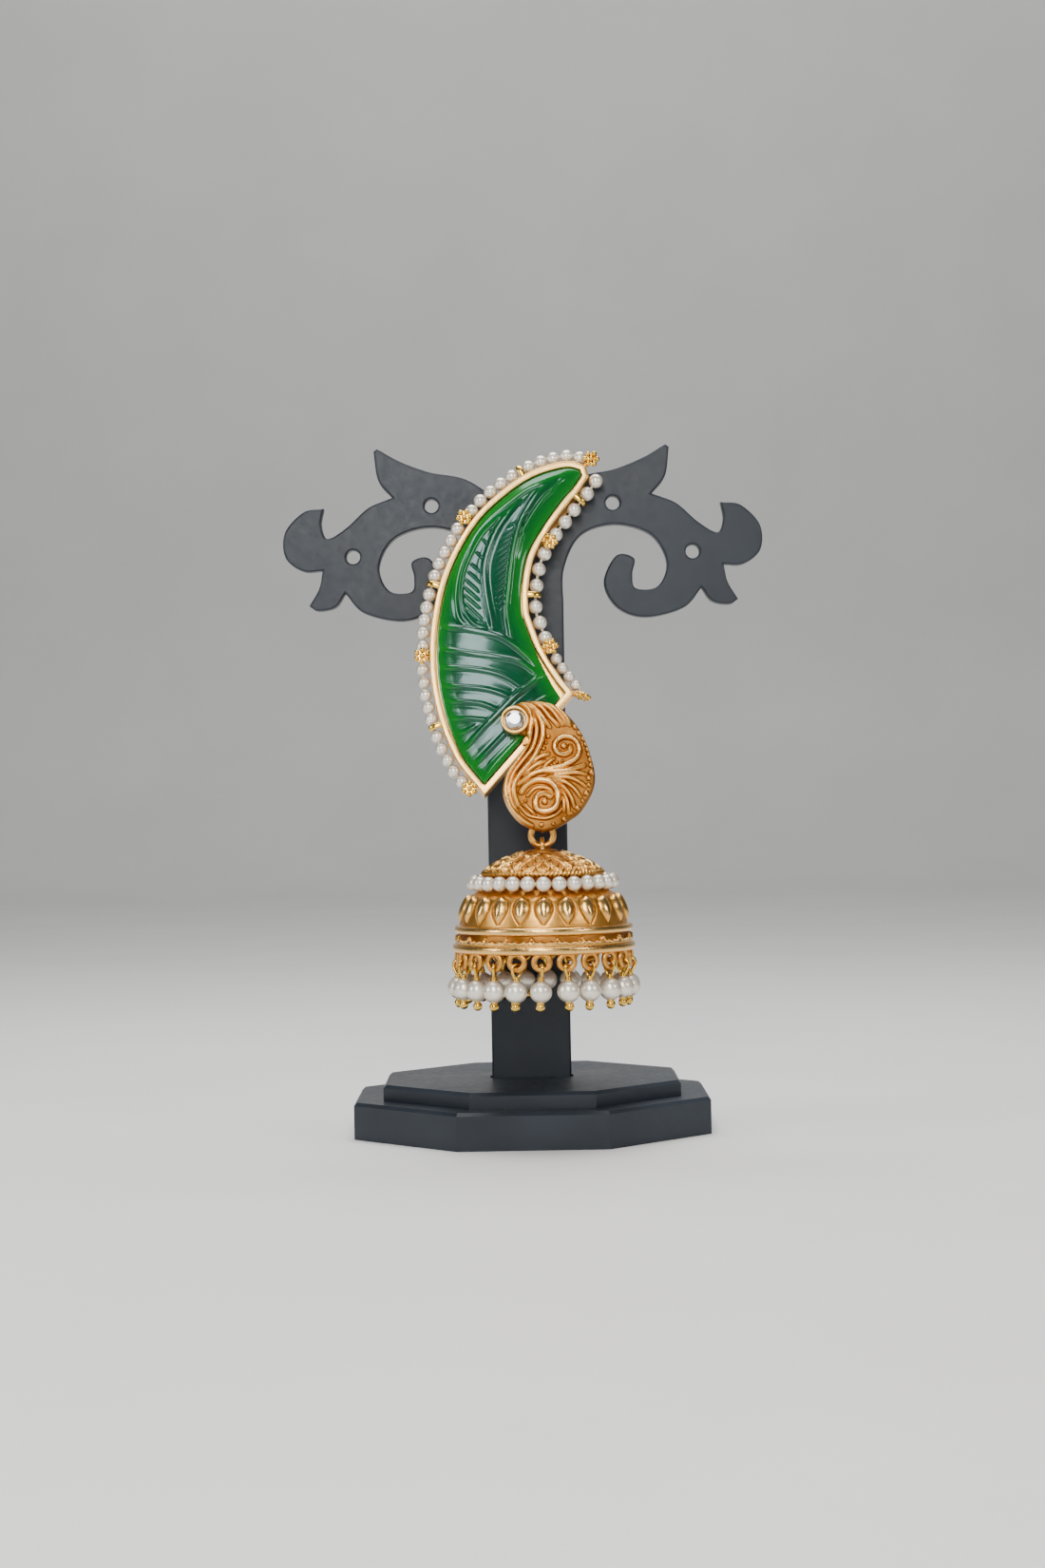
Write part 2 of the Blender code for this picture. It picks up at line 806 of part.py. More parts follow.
def paisley_mesh():
    """Cast gold paisley with raised scrolls, a cup for its stone and a hidden eye."""
    corners = {i for i, row in enumerate(PAISLEY_OUTLINE) if row[2] == "corner"}
    outline = smooth_curve([paisley_point(x, y) for x, y, kind in PAISLEY_OUTLINE], 2, corners, closed=True)
    back = paisley_back()
    face = back + PAISLEY_THICKNESS
    rings = [
        flat_ring(outline, back),
        flat_ring(outline, face - PAISLEY_BEVEL),
        flat_ring(offset_outline(outline, -PAISLEY_BEVEL), face),
    ]
    body = loft(rings, "paisley_plaque")
    for half_width, shares in PAISLEY_RIBS:
        rib = rib_mesh(smooth_curve([paisley_point(x, y) for x, y in shares], 2), half_width)
        body = combined(body, rib, "UNION")
    for across, up, radius, turns, start in PAISLEY_SPIRALS:
        centre = paisley_point(across, up)
        curve = spiral_points(centre, radius * PAISLEY_WIDTH, turns, math.radians(start))
        body = combined(body, rib_mesh(curve, PAISLEY_RELIEF), "UNION")
    body = combined(body, cup_mesh(), "UNION")
    body = combined(body, solder_foot_mesh(), "UNION")
    eye = ring_mesh(
        ring_top(), Vector((0, 1, 0)), Vector((0, 0, 1)), EYE_RADIUS, EYE_WIRE / 2, RING_SIDES, WIRE_SIDES, "eye"
    )
    eye.transform(plaque_matrix().inverted())
    return combined(body, eye, "UNION")


def cup_place():
    return paisley_point(*CUP_PLACE)


def cup_floor():
    return paisley_back() + PAISLEY_THICKNESS + CUP_FLOOR


def cup_rim():
    return paisley_back() + PAISLEY_THICKNESS + CUP_HEIGHT


def cup_mesh():
    """Round cup at the paisley's tip; its wall stands round the faceted stone."""
    spot = cup_place()
    inside = CUP_DIAMETER / 2 - CUP_WALL
    profile = (
        (CUP_DIAMETER / 2, paisley_back()),
        (CUP_DIAMETER / 2, cup_rim()),
        (inside, cup_rim()),
        (inside, cup_floor()),
    )
    return turned(profile, GEM_FACETS, "cup", Vector((spot.x, spot.y, 0.0)))


def solder_foot_mesh():
    """Short foot under the paisley that stands on the end of the bezel."""
    end_outer = crescent_side(STONE_OUTER)[-1]
    end_inner = crescent_side(STONE_INNER)[-1]
    along = (end_outer - end_inner).normalized()
    outward = Vector((-along.y, along.x))
    middle = end_inner.lerp(end_outer, 0.5) + outward * (JEWEL_GAP + BEZEL_WALL / 2)
    half = BEZEL_WALL * SOLDER_FOOT_SHARE / 2
    corners = (
        middle - along - outward * half,
        middle + along - outward * half,
        middle + along + outward * half,
        middle - along + outward * half,
    )
    rings = [flat_ring(corners, w) for w in (BEZEL_LIP + JEWEL_GAP, paisley_back() + PAISLEY_THICKNESS / 2)]
    return loft(rings, "foot")


def round_stone_mesh():
    """Brilliant-like stone: girdle, twelve crown facets and a table."""
    spot = cup_place()
    radius = CUP_DIAMETER / 2 - CUP_WALL - JEWEL_GAP
    low = cup_floor() + JEWEL_GAP
    girdle = cup_rim() - JEWEL_GAP
    profile = [(radius * GEM_CULET_SHARE, low)]
    profile += [(radius * across, girdle + GEM_RISE * rise) for across, rise in GEM_CROWN]
    return turned(profile, GEM_FACETS, "round_stone", Vector((spot.x, spot.y, 0.0)))


def ear_post_mesh():
    """Pad on the setting's back, post through the stand and round clutch behind it."""
    start = BEZEL_LIP - BEZEL_DEPTH - JEWEL_GAP
    reach = PLAQUE_STAND_OFF + PLATE_THICKNESS / 2 + SEAT_GAP
    clutch = -(reach + CLUTCH_DIAMETER / 2 * math.sin(LEAN_ANGLE)) / math.cos(LEAN_ANGLE)
    profile = (
        (POST_PAD_DIAMETER / 2, start),
        (POST_PAD_DIAMETER / 2, start - POST_PAD_THICKNESS),
        (POST_DIAMETER / 2, start - POST_PAD_THICKNESS),
        (POST_DIAMETER / 2, clutch),
        (CLUTCH_DIAMETER / 2, clutch),
        (CLUTCH_DIAMETER / 2, clutch - CLUTCH_THICKNESS),
    )
    return turned(profile, HOLE_SIDES, "ear_post")


def jump_ring_mesh():
    centre = ring_centre() - ring_top_pivot()
    return ring_mesh(
        centre, Vector((1, 0, 0)), Vector((0, 0, 1)), ring_radius(), RING_WIRE / 2, RING_SIDES, WIRE_SIDES, "jump_ring"
    )


def ring_top_pivot():
    """Lowest wire of the hidden eye, on which the ring rocks."""
    return ring_top() - Vector((0, 0, EYE_RADIUS))


def bell_top():
    """Height of the cap's top above the bell's pivot, below the jump ring."""
    return -EYE_RADIUS - EYE_WIRE / 2 + BELL_NECK_RISE


def bell_row(share, drop, form):
    """Ring of points round the bell; petals and waves lift every other point."""
    sides = 2 * PETAL_COUNT
    ring = []
    for k in range(sides):
        angle = 2 * math.pi * k / sides
        radius = share * BELL_RIM_DIAMETER / 2
        height = bell_top() - drop * BELL_HEIGHT
        if form == "petal" and k % 2 == 0:
            radius += PETAL_RELIEF
        if form == "wave":
            radius += WAVE_RELIEF
            height += WAVE_RELIEF if k % 2 == 0 else -WAVE_RELIEF
        ring.append(Vector((radius * math.sin(angle), -radius * math.cos(angle), height)))
    return ring


def bell_loop_height():
    return bell_top() - BELL_HEIGHT - RIM_LOOP_RADIUS + RIM_LOOP_SEAT


def drop_angles():
    return [DROP_TURN + 2 * math.pi * k / DROP_COUNT for k in range(DROP_COUNT)]


def bell_mesh():
    """Hollow bell with petals, bands, rim loops and the eye that hangs on the ring."""
    rings = [bell_row(*row) for row in BELL_OUTSIDE + BELL_INSIDE]
    body = loft(rings, "bell_dome")
    loops = []
    for angle in drop_angles():
        out = Vector((math.sin(angle), -math.cos(angle), 0))
        side = Vector((math.cos(angle), math.sin(angle), 0))
        centre = out * (DROP_CIRCLE / 2) + Vector((0, 0, bell_loop_height()))
        loops.append(
            ring_mesh(
                centre,
                side,
                Vector((0, 0, 1)),
                RIM_LOOP_RADIUS,
                RIM_LOOP_WIRE / 2,
                LOOP_SIDES,
                LOOP_WIRE_SIDES,
                "rim_loop",
            )
        )
    body = combined(body, joined(loops, "rim_loops"), "UNION")
    eye = ring_mesh(
        Vector((0, 0, 0)),
        Vector((0, 1, 0)),
        Vector((0, 0, 1)),
        EYE_RADIUS,
        EYE_WIRE / 2,
        RING_SIDES,
        WIRE_SIDES,
        "finial_eye",
    )
    return combined(body, eye, "UNION")


def bell_pearl_mesh():
    """Ring of pearls lying in the groove under the cap."""
    radius = BELL_PEARL_DIAMETER / 2
    circle_radius = BELL_PEARL_CIRCLE / 2
    height = bell_top() - BELL_PEARL_DROP * BELL_HEIGHT
    count = int(math.pi * BELL_PEARL_CIRCLE / BELL_PEARL_DIAMETER)
    angles = [2 * math.pi * k / count for k in range(count)]
    centres = [Vector((circle_radius * math.sin(a), -circle_radius * math.cos(a), height)) for a in angles]
    directions = [Vector((math.cos(a), math.sin(a), 0)) for a in angles]
    return bead_ring(centres, directions, radius, "bell_pearl_ring")


def drop_loop_height():
    """Centre of a drop's loop, hanging in its rim loop."""
    return (
        bell_loop_height()
        - RIM_LOOP_RADIUS
        + (RIM_LOOP_WIRE + DROP_LOOP_WIRE) / 2
        + JEWEL_GAP
        - DROP_LOOP_RADIUS
    )


def drop_mesh():
    """Pearl on a wire with a loop above it and a small ball below; origin in the loop."""
    wire = DROP_LOOP_WIRE / 2
    pearl = DROP_PEARL_DIAMETER / 2
    ball = DROP_BALL_DIAMETER / 2
    top = -DROP_LOOP_RADIUS
    pearl_height = top - DROP_STEM_LENGTH - pearl
    ball_height = pearl_height - pearl - ball * BALL_SEAT
    profile = [(ball * across, ball_height + ball * up) for across, up in BALL_SECTION]
    for latitude in BEAD_LATITUDES:
        profile.append((pearl * math.cos(latitude), pearl_height + pearl * math.sin(latitude)))
    profile.append((wire, top + wire / 2))
    body = turned(profile, BEAD_SIDES, "drop")
    loop = ring_mesh(
        Vector((0, 0, 0)),
        Vector((0, 1, 0)),
        Vector((0, 0, 1)),
        DROP_LOOP_RADIUS,
        wire,
        LOOP_SIDES,
        LOOP_WIRE_SIDES,
        "drop_loop",
    )
    return combined(body, loop, "UNION")


def build_stand():
    black = material("stand_black", (0.012, 0.013, 0.016), 0.35, 0.0)
    place("stand_base", stand_base_mesh(), black)
    place("stand_tree", stand_tree_mesh(), black)


def build_plaque(gold, antique, pearl):
    location = (0.0, -PLAQUE_STAND_OFF, post_height())
    lean = (math.pi / 2 - LEAN_ANGLE, 0.0, 0.0)
    green = material("carved_green_stone", (0.01, 0.16, 0.07), 0.15, 0.0)
    clear = material("clear_stone", (0.85, 0.88, 0.9), 0.05, 0.0)
    pieces = (
        ("crescent_setting", crescent_setting_mesh(), gold),
        ("carved_stone", carved_stone_mesh(), green),
        ("paisley_plaque", paisley_mesh(), antique),
        ("round_stone", round_stone_mesh(), clear),
        ("ear_post", ear_post_mesh(), gold),
    )
    for name, mesh, finish in pieces:
        place(name, mesh, finish, location, lean)
    start = BORDER_PEARL_DIAMETER / 2 + STRING_PARTING
    outer, inner = border_paths()
    strings = (
        ("outer_pearl_string", outer, OUTER_FLOWERS),
        ("inner_pearl_string", inner, INNER_FLOWERS),
    )
    for name, path, flowers in strings:
        pearl_string(name, shortened(path, start, flowers[-1]), pearl, location, lean)


def build_bell(gold, antique, pearl):
    ring_pivot = pivot("ring_pivot", ring_top_pivot())
    place("jump_ring", jump_ring_mesh(), gold, parent=ring_pivot)
    bell_pivot = pivot("bell_pivot", ring_bottom() - ring_top_pivot(), ring_pivot)
    place("bell_dome", bell_mesh(), antique, parent=bell_pivot)
    place("bell_pearl_ring", bell_pearl_mesh(), pearl, parent=bell_pivot)
    drop = drop_mesh()
    for number, angle in enumerate(drop_angles(), start=1):
        spot = Vector((math.sin(angle), -math.cos(angle), 0)) * (DROP_CIRCLE / 2)
        spot.z = drop_loop_height()
        place(f"pearl_drop_{number:02d}", drop, pearl, spot, (0.0, 0.0, angle), bell_pivot)


def main():
    for thing in list(bpy.data.objects):
        bpy.data.objects.remove(thing)
    gold = material("bright_gold", (0.83, 0.60, 0.28), 0.3, 1.0)
    antique = material("antique_gold", (0.62, 0.33, 0.11), 0.42, 1.0)
    pearl = material("pearl", (0.85, 0.80, 0.72), 0.2, 0.0)
    build_stand()
    build_plaque(gold, antique, pearl)
    build_bell(gold, antique, pearl)


main()
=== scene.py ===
"""Looks of the jhumka earring on its display stand.

Every length is in millimetres in the frame of the CAD model: X to the right,
Y to the back, Z up, origin under the middle of the base. The crescent and the
paisley are drawn on the leaning plane of the earring, with u to the right,
v up along it and w out of it.
"""

import math

import bpy
import numpy as np
from mathutils import Matrix, Vector

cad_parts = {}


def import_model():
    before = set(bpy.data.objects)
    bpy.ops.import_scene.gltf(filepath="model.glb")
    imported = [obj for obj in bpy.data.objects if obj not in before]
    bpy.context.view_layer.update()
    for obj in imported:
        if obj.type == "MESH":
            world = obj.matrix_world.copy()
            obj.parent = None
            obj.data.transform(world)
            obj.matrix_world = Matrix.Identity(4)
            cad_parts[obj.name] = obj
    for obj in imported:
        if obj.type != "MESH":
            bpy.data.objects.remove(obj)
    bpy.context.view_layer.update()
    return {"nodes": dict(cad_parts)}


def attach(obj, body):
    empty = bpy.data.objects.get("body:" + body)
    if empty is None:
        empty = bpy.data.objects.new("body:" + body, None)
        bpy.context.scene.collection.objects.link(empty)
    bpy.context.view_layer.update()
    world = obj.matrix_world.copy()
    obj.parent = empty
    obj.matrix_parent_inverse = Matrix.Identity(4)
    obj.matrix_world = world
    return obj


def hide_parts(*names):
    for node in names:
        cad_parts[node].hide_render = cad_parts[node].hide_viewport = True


MM = 0.001
SEED = 7
UPWARD = np.array([0.0, 0.0, 1.0])

# Camera, from the photograph
CAMERA_PLACE = (-0.69, -432.5, 54.3)
CAMERA_ROLL = math.radians(-1.0)
LENS = 62.84
SENSOR = 36.0
CLIP = (0.01, 20.0)

# Leaning plane of the crescent and paisley
LEAN = math.radians(12.0)
POST_HEIGHT = 94.0
STAND_OFF = 6.6

# Stand
PLATE_THICKNESS = 3.0
PLATE_BEVEL = 0.3
COLUMN_WIDTH = 12.5
COLUMN_FOOT = 3.45
ARM = (0.0, 76.2, 37.8, 31.3)
HOLE_RADIUS = 1.1
HOLE_POINTS = 40

# Crescent: its box as left, bottom, width and height, then its bezel and stone
CRESCENT = (-13.5, -40.5, 22.75, 50.2)
GAP = 0.15
WALL = 1.0
LIP = 0.35
DEPTH = 2.75
FLOOR = 0.6
STONE_EDGE = 0.12
STONE_CROWN = 1.1
STONE_TOP = 1.22
STONE_ROLL = 0.22
STONE_DOME = 0.78
ROLL_WIDTH = 0.35
FULL_WIDTH = 6.0
END_STEP = 0.18
END_EDGE = 0.15
STONE_ROWS = 420
STONE_COLUMNS = 116
SIDE_POINTS = 170
WEDGE_START = 0.80
WEDGE_GAP = 0.95
MITER_LIMIT = 0.62

# Pearl borders, flowers and ties
PEARL = 0.98
PEARL_SWELL = 1.16
PEARL_FILL = 0.505
PEARL_SHIFT = 0.06
FLOWER_RADIUS = 1.35
GRAIN = 0.42
TIE_SPACE = 0.85
FLOWER_OVERLAP = 0.5
BORDER_POINTS = 90
THREAD_POINTS = 160
THREAD_START = 1.4
THREAD_RADIUS = 0.2
OUTER_FLOWERS = (0.020, 0.335, 0.650, 0.952)
INNER_FLOWERS = (0.350, 0.781, 1.0)

# The inner border's last flower faces downward and shows its edge
EDGE_AXES = ((0.96, -0.28, 0.0), (0.0, 0.0, 1.0), (-0.28, -0.96, 0.0))
EDGE_LIFT = -0.35

# Pearls before and after the tie in each stretch between two flowers
OUTER_GROUPS = ((5, 5), (5, 5), (5, 5))
INNER_GROUPS = ((2, 3), (3, 3), (4, 0))

# Paisley
PAISLEY = (-3.75, -48.45, 14.1, 20.5)
PAISLEY_BACK = 1.35
PAISLEY_FACE = 2.42
PAISLEY_TOP = 3.45
PAISLEY_ROWS = 330
PAISLEY_COLUMNS = 240
RIB_RISE = 1.5
RIB_SPREAD = 1.65
RIB_ROUNDING = 0.62
GRAIN_RISE = 1.4
GRAIN_SPREAD = 1.2
CUP_PLACE = (0.143, 0.840)
CUP_RADIUS = 2.15
CUP_INSIDE = 1.68
CUP_RIM = 3.4

# Clear stone: rows of radius share, height over the girdle and turn in sides
GEM_SIDES = 16
GEM_ROWS = ((0.80, -0.7, 0.0), (1.0, 0.0, 0.0), (0.97, 0.10, 0.0), (0.80, 0.42, 0.5), (0.55, 0.68, 0.0))

# Ring, bell and drops
RING_PLACE = (2.15, -16.906, 46.539)
RING_RADIUS = 1.7
RING_WIRE = 0.48
EYE_RADIUS = 1.1
EYE_WIRE = 0.33
BELL_TOP = 44.229
BELL_RADIUS = 13.85
BELL_HEIGHT = 15.2
PETALS = 22
BELL_COLUMNS = 30 * PETALS
BELL_PEARLS = 28
BELL_PEARL = 1.15
BELL_PEARL_CIRCLE = 10.5
BELL_PEARL_DROP = 0.315
DROPS = 22
DROP_CIRCLE = 13.1
DROP_TURN = math.radians(-2.0)
RIM_LOOP_RADIUS = 1.15
RIM_LOOP_WIRE = 0.45
RIM_LOOP_SEAT = 0.15
DROP_LOOP_RADIUS = 0.95
DROP_WIRE = 0.26
DROP_STEM = 0.5
DROP_PEARL = 1.70
DROP_BALL = 0.72
HAIRPIN_WIRE = 0.23
THREADING_WIRE = 0.18

# Each drop's random swing, tilt and twist in degrees, and the wraps of its wire
DROP_SWINGS = (-4.0, 4.0)
DROP_TILTS = (-3.5, 1.0)
DROP_TWISTS = (-42.0, 42.0)
WRAPS = 3
WRAP_STEP = 0.20
WRAP_WIRE = 0.14

# Radius of the channel in the bell's neck, in which the ring's wire lies
WIRE_CHANNEL = 0.62

# Places in these tables are shares of the box that they are drawn in,
# and heights, widths and radii are in millimetres.

# Arm of the stand, whose third column is 1 at a sharp corner, and its holes
ARM_OUTLINE = (
    (0.165, 0.22, 0), (0.170, 0.38, 0), (0.240, 0.545, 0), (0.385, 0.60, 0), (0.535, 0.545, 0),
    (0.600, 0.405, 0), (0.560, 0.285, 0), (0.468, 0.277, 0), (0.455, 0.347, 0), (0.463, 0.427, 0),
    (0.390, 0.443, 0), (0.336, 0.31, 0), (0.390, 0.18, 0), (0.508, 0.13, 0), (0.667, 0.175, 0),
    (0.743, 0.274, 1), (0.785, 0.205, 0), (0.857, 0.188, 0), (0.894, 0.213, 1), (0.852, 0.30, 0),
    (0.836, 0.39, 1), (0.918, 0.39, 0), (0.990, 0.459, 0), (0.990, 0.586, 0), (0.910, 0.688, 0),
    (0.828, 0.704, 1), (0.839, 0.618, 0), (0.812, 0.552, 0), (0.733, 0.605, 0), (0.640, 0.704, 0),
    (0.540, 0.752, 1), (0.598, 0.84, 0), (0.616, 0.985, 1), (0.600, 1.0, 1), (0.508, 0.936, 0),
    (0.384, 0.879, 0), (0.230, 0.838, 0), (0.082, 0.713, 0),
)
ARM_HOLES = (
    (0.378, 0.708), (0.708, 0.457)
)

STONE_OUTER = (
    (0.990, 0.992), (0.890, 1.000), (0.680, 0.972), (0.480, 0.912), (0.280, 0.820), (0.106, 0.677),
    (0.022, 0.530), (0.000, 0.376), (0.050, 0.225), (0.161, 0.091), (0.310, 0.000),
)
STONE_INNER = (
    (1.000, 0.976), (0.940, 0.936), (0.856, 0.892), (0.725, 0.809), (0.620, 0.720), (0.577, 0.620),
    (0.576, 0.542), (0.600, 0.500), (0.672, 0.411), (0.784, 0.324), (0.855, 0.280),
)

# Carved ribs of the stone: height, half width, points
STONE_RIBS = (
    (0.20, 0.42, ((0.90, 0.985), (0.73, 0.956), (0.611, 0.931), (0.483, 0.887), (0.356, 0.844),
        (0.26, 0.796), (0.195, 0.734), (0.151, 0.675), (0.13, 0.616), (0.128, 0.564), (0.15, 0.517),
        (0.20, 0.492))),
    (0.12, 0.22, ((0.53, 0.872), (0.418, 0.832), (0.315, 0.784), (0.242, 0.725), (0.194, 0.674),
        (0.173, 0.623), (0.172, 0.582), (0.198, 0.531), (0.259, 0.497), (0.36, 0.482))),
    (0.24, 0.40, ((0.554, 0.883), (0.482, 0.843), (0.417, 0.798), (0.369, 0.747), (0.335, 0.692),
        (0.33, 0.636), (0.347, 0.57), (0.369, 0.518), (0.383, 0.478))),
    (0.22, 0.34, ((0.745, 0.937), (0.689, 0.908), (0.632, 0.867), (0.583, 0.827), (0.55, 0.782),
        (0.525, 0.727), (0.507, 0.672), (0.493, 0.617), (0.48, 0.562), (0.486, 0.514), (0.507, 0.455))),
    (0.18, 0.30, ((0.897, 0.974), (0.816, 0.929), (0.736, 0.893), (0.663, 0.845), (0.606, 0.801),
        (0.581, 0.767), (0.545, 0.700))),
    (0.24, 0.38, ((-0.02, 0.502), (0.10, 0.490), (0.231, 0.481), (0.416, 0.46), (0.533, 0.427),
        (0.68, 0.368))),
    (0.22, 0.34, ((-0.02, 0.430), (0.10, 0.418), (0.229, 0.406), (0.414, 0.393), (0.564, 0.376),
        (0.69, 0.334))),
    (0.20, 0.31, ((-0.02, 0.368), (0.194, 0.359), (0.362, 0.346), (0.479, 0.326), (0.58, 0.293))),
    (0.18, 0.29, ((0.00, 0.309), (0.176, 0.301), (0.327, 0.292), (0.443, 0.275), (0.51, 0.258))),
    (0.17, 0.27, ((0.02, 0.261), (0.191, 0.254), (0.308, 0.245), (0.41, 0.224))),
    (0.15, 0.25, ((0.04, 0.204), (0.19, 0.203), (0.29, 0.198), (0.36, 0.194))),
    (0.13, 0.26, ((0.08, 0.149), (0.189, 0.164), (0.26, 0.178))),
    (0.24, 0.34, ((0.76, 0.358), (0.612, 0.301), (0.51, 0.263), (0.391, 0.209), (0.289, 0.163),
        (0.16, 0.10))),
    (0.21, 0.31, ((0.80, 0.280), (0.66, 0.246), (0.524, 0.185), (0.405, 0.131), (0.24, 0.056))),
    (0.16, 0.30, ((0.65, 0.178), (0.504, 0.115), (0.403, 0.069), (0.318, 0.024))),
)

# Sharp cuts beside the leaf's stems, each from one end to the other
STONE_CUTS = (
    ((0.365, 0.812), (0.398, 0.786)), ((0.318, 0.773), (0.361, 0.747)), ((0.270, 0.733),
    (0.328, 0.703)), ((0.230, 0.696), (0.307, 0.662)), ((0.209, 0.672), (0.310, 0.625)),
    ((0.189, 0.648), (0.301, 0.595)), ((0.180, 0.623), (0.304, 0.568)), ((0.178, 0.599),
    (0.306, 0.543)), ((0.179, 0.575), (0.322, 0.508)), ((0.186, 0.551), (0.285, 0.508)),
    ((0.488, 0.805), (0.576, 0.832)), ((0.456, 0.776), (0.556, 0.806)), ((0.440, 0.757),
    (0.540, 0.788)), ((0.419, 0.735), (0.524, 0.768)), ((0.415, 0.716), (0.514, 0.749)),
    ((0.410, 0.696), (0.504, 0.729)), ((0.402, 0.676), (0.496, 0.709)), ((0.400, 0.657),
    (0.489, 0.689)), ((0.400, 0.638), (0.483, 0.668)), ((0.397, 0.618), (0.477, 0.648)),
    ((0.395, 0.599), (0.474, 0.629)), ((0.398, 0.579), (0.468, 0.608)), ((0.402, 0.560),
    (0.467, 0.588)), ((0.413, 0.543), (0.465, 0.569)), ((0.610, 0.850), (0.640, 0.858)),
    ((0.585, 0.812), (0.622, 0.826)), ((0.565, 0.776), (0.600, 0.792)),
)
CUT_DEPTH = 0.17
CUT_WIDTH = 0.12
SCOOP_DEPTH = 0.12
SCOOP_WIDTH = 0.8

# Groove beside each rib: place and width as shares of the half width, depth of the height
GROOVE_PLACE = 1.6
GROOVE_WIDTH = 0.4
GROOVE_DEPTH = 0.35

PAISLEY_LEFT = (
    (0.200, 0.985), (0.085, 0.940), (0.000, 0.850), (0.060, 0.780), (0.200, 0.745), (0.288, 0.700),
    (0.209, 0.592), (0.060, 0.462), (0.000, 0.329), (0.031, 0.219), (0.115, 0.120), (0.221, 0.052),
    (0.400, 0.002),
)
PAISLEY_RIGHT = (
    (0.240, 0.995), (0.454, 0.991), (0.623, 0.946), (0.752, 0.860), (0.854, 0.758), (0.930, 0.640),
    (0.976, 0.527), (1.000, 0.430), (0.990, 0.344), (0.940, 0.253), (0.835, 0.145), (0.715, 0.083),
    (0.556, 0.022), (0.433, 0.000),
)

# Raised scrollwork of the paisley: height, half width, points
PAISLEY_RIBS = (
    (0.50, 0.33, ((0.20, 0.985), (0.29, 0.935), (0.325, 0.867), (0.310, 0.777), (0.283, 0.681),
        (0.212, 0.595), (0.112, 0.500), (0.050, 0.420), (0.030, 0.340), (0.040, 0.264), (0.09, 0.174),
        (0.19, 0.098), (0.30, 0.045))),
    (0.44, 0.24, ((0.345, 0.895), (0.378, 0.804), (0.372, 0.721), (0.330, 0.632), (0.235, 0.547),
        (0.14, 0.462), (0.092, 0.390), (0.072, 0.318), (0.090, 0.236), (0.150, 0.155))),
    (0.50, 0.30, ((0.26, 0.962), (0.367, 0.926), (0.437, 0.831), (0.448, 0.734), (0.412, 0.652),
        (0.338, 0.556), (0.238, 0.475), (0.164, 0.410), (0.128, 0.350), (0.124, 0.280),
        (0.160, 0.205))),
    (0.42, 0.24, ((0.310, 0.962), (0.396, 0.915), (0.463, 0.850), (0.521, 0.789))),
    (0.46, 0.25, ((0.340, 0.982), (0.437, 0.943), (0.523, 0.865), (0.612, 0.800))),
    (0.46, 0.25, ((0.400, 0.985), (0.525, 0.934), (0.601, 0.868), (0.664, 0.806))),
    (0.46, 0.25, ((0.480, 0.975), (0.584, 0.930), (0.655, 0.870), (0.706, 0.812))),
    (0.46, 0.26, ((0.580, 0.950), (0.661, 0.905), (0.720, 0.850), (0.735, 0.805))),
    (0.56, 0.29, ((0.444, 0.470), (0.571, 0.476), (0.689, 0.500), (0.788, 0.541), (0.834, 0.595),
        (0.826, 0.653), (0.773, 0.696), (0.676, 0.711), (0.596, 0.684), (0.570, 0.636), (0.603, 0.592),
        (0.671, 0.576), (0.731, 0.600), (0.735, 0.634))),
    (0.36, 0.20, ((0.444, 0.470), (0.480, 0.505), (0.560, 0.546))),
    (0.36, 0.23, ((0.320, 0.515), (0.407, 0.562), (0.500, 0.580))),
    (0.36, 0.26, ((0.240, 0.430), (0.340, 0.492), (0.455, 0.530))),
    (0.46, 0.28, ((0.170, 0.360), (0.305, 0.425), (0.433, 0.452), (0.590, 0.449), (0.747, 0.466),
        (0.880, 0.492))),
    (0.55, 0.33, ((0.205, 0.300), (0.250, 0.345), (0.330, 0.378), (0.421, 0.385), (0.528, 0.364),
        (0.590, 0.305), (0.592, 0.223), (0.540, 0.165), (0.445, 0.145), (0.372, 0.170), (0.352, 0.226),
        (0.385, 0.270), (0.458, 0.285), (0.512, 0.262))),
    (0.34, 0.20, ((0.270, 0.270), (0.340, 0.320), (0.420, 0.330), (0.500, 0.318), (0.545, 0.275))),
    (0.40, 0.23, ((0.480, 0.405), (0.648, 0.428), (0.795, 0.437), (0.902, 0.425))),
    (0.38, 0.22, ((0.535, 0.398), (0.686, 0.404), (0.803, 0.378), (0.890, 0.335))),
    (0.38, 0.22, ((0.568, 0.381), (0.675, 0.368), (0.772, 0.318), (0.838, 0.255))),
    (0.38, 0.22, ((0.605, 0.355), (0.684, 0.313), (0.740, 0.248), (0.770, 0.180))),
    (0.36, 0.21, ((0.633, 0.310), (0.676, 0.258), (0.702, 0.194), (0.707, 0.126))),
    (0.34, 0.20, ((0.645, 0.255), (0.658, 0.208), (0.659, 0.150))),
    (0.34, 0.18, ((0.182, 0.194), (0.268, 0.124), (0.385, 0.100), (0.482, 0.098), (0.581, 0.130),
        (0.635, 0.170))),
    (0.34, 0.20, ((0.231, 0.205), (0.289, 0.165), (0.342, 0.130))),
)

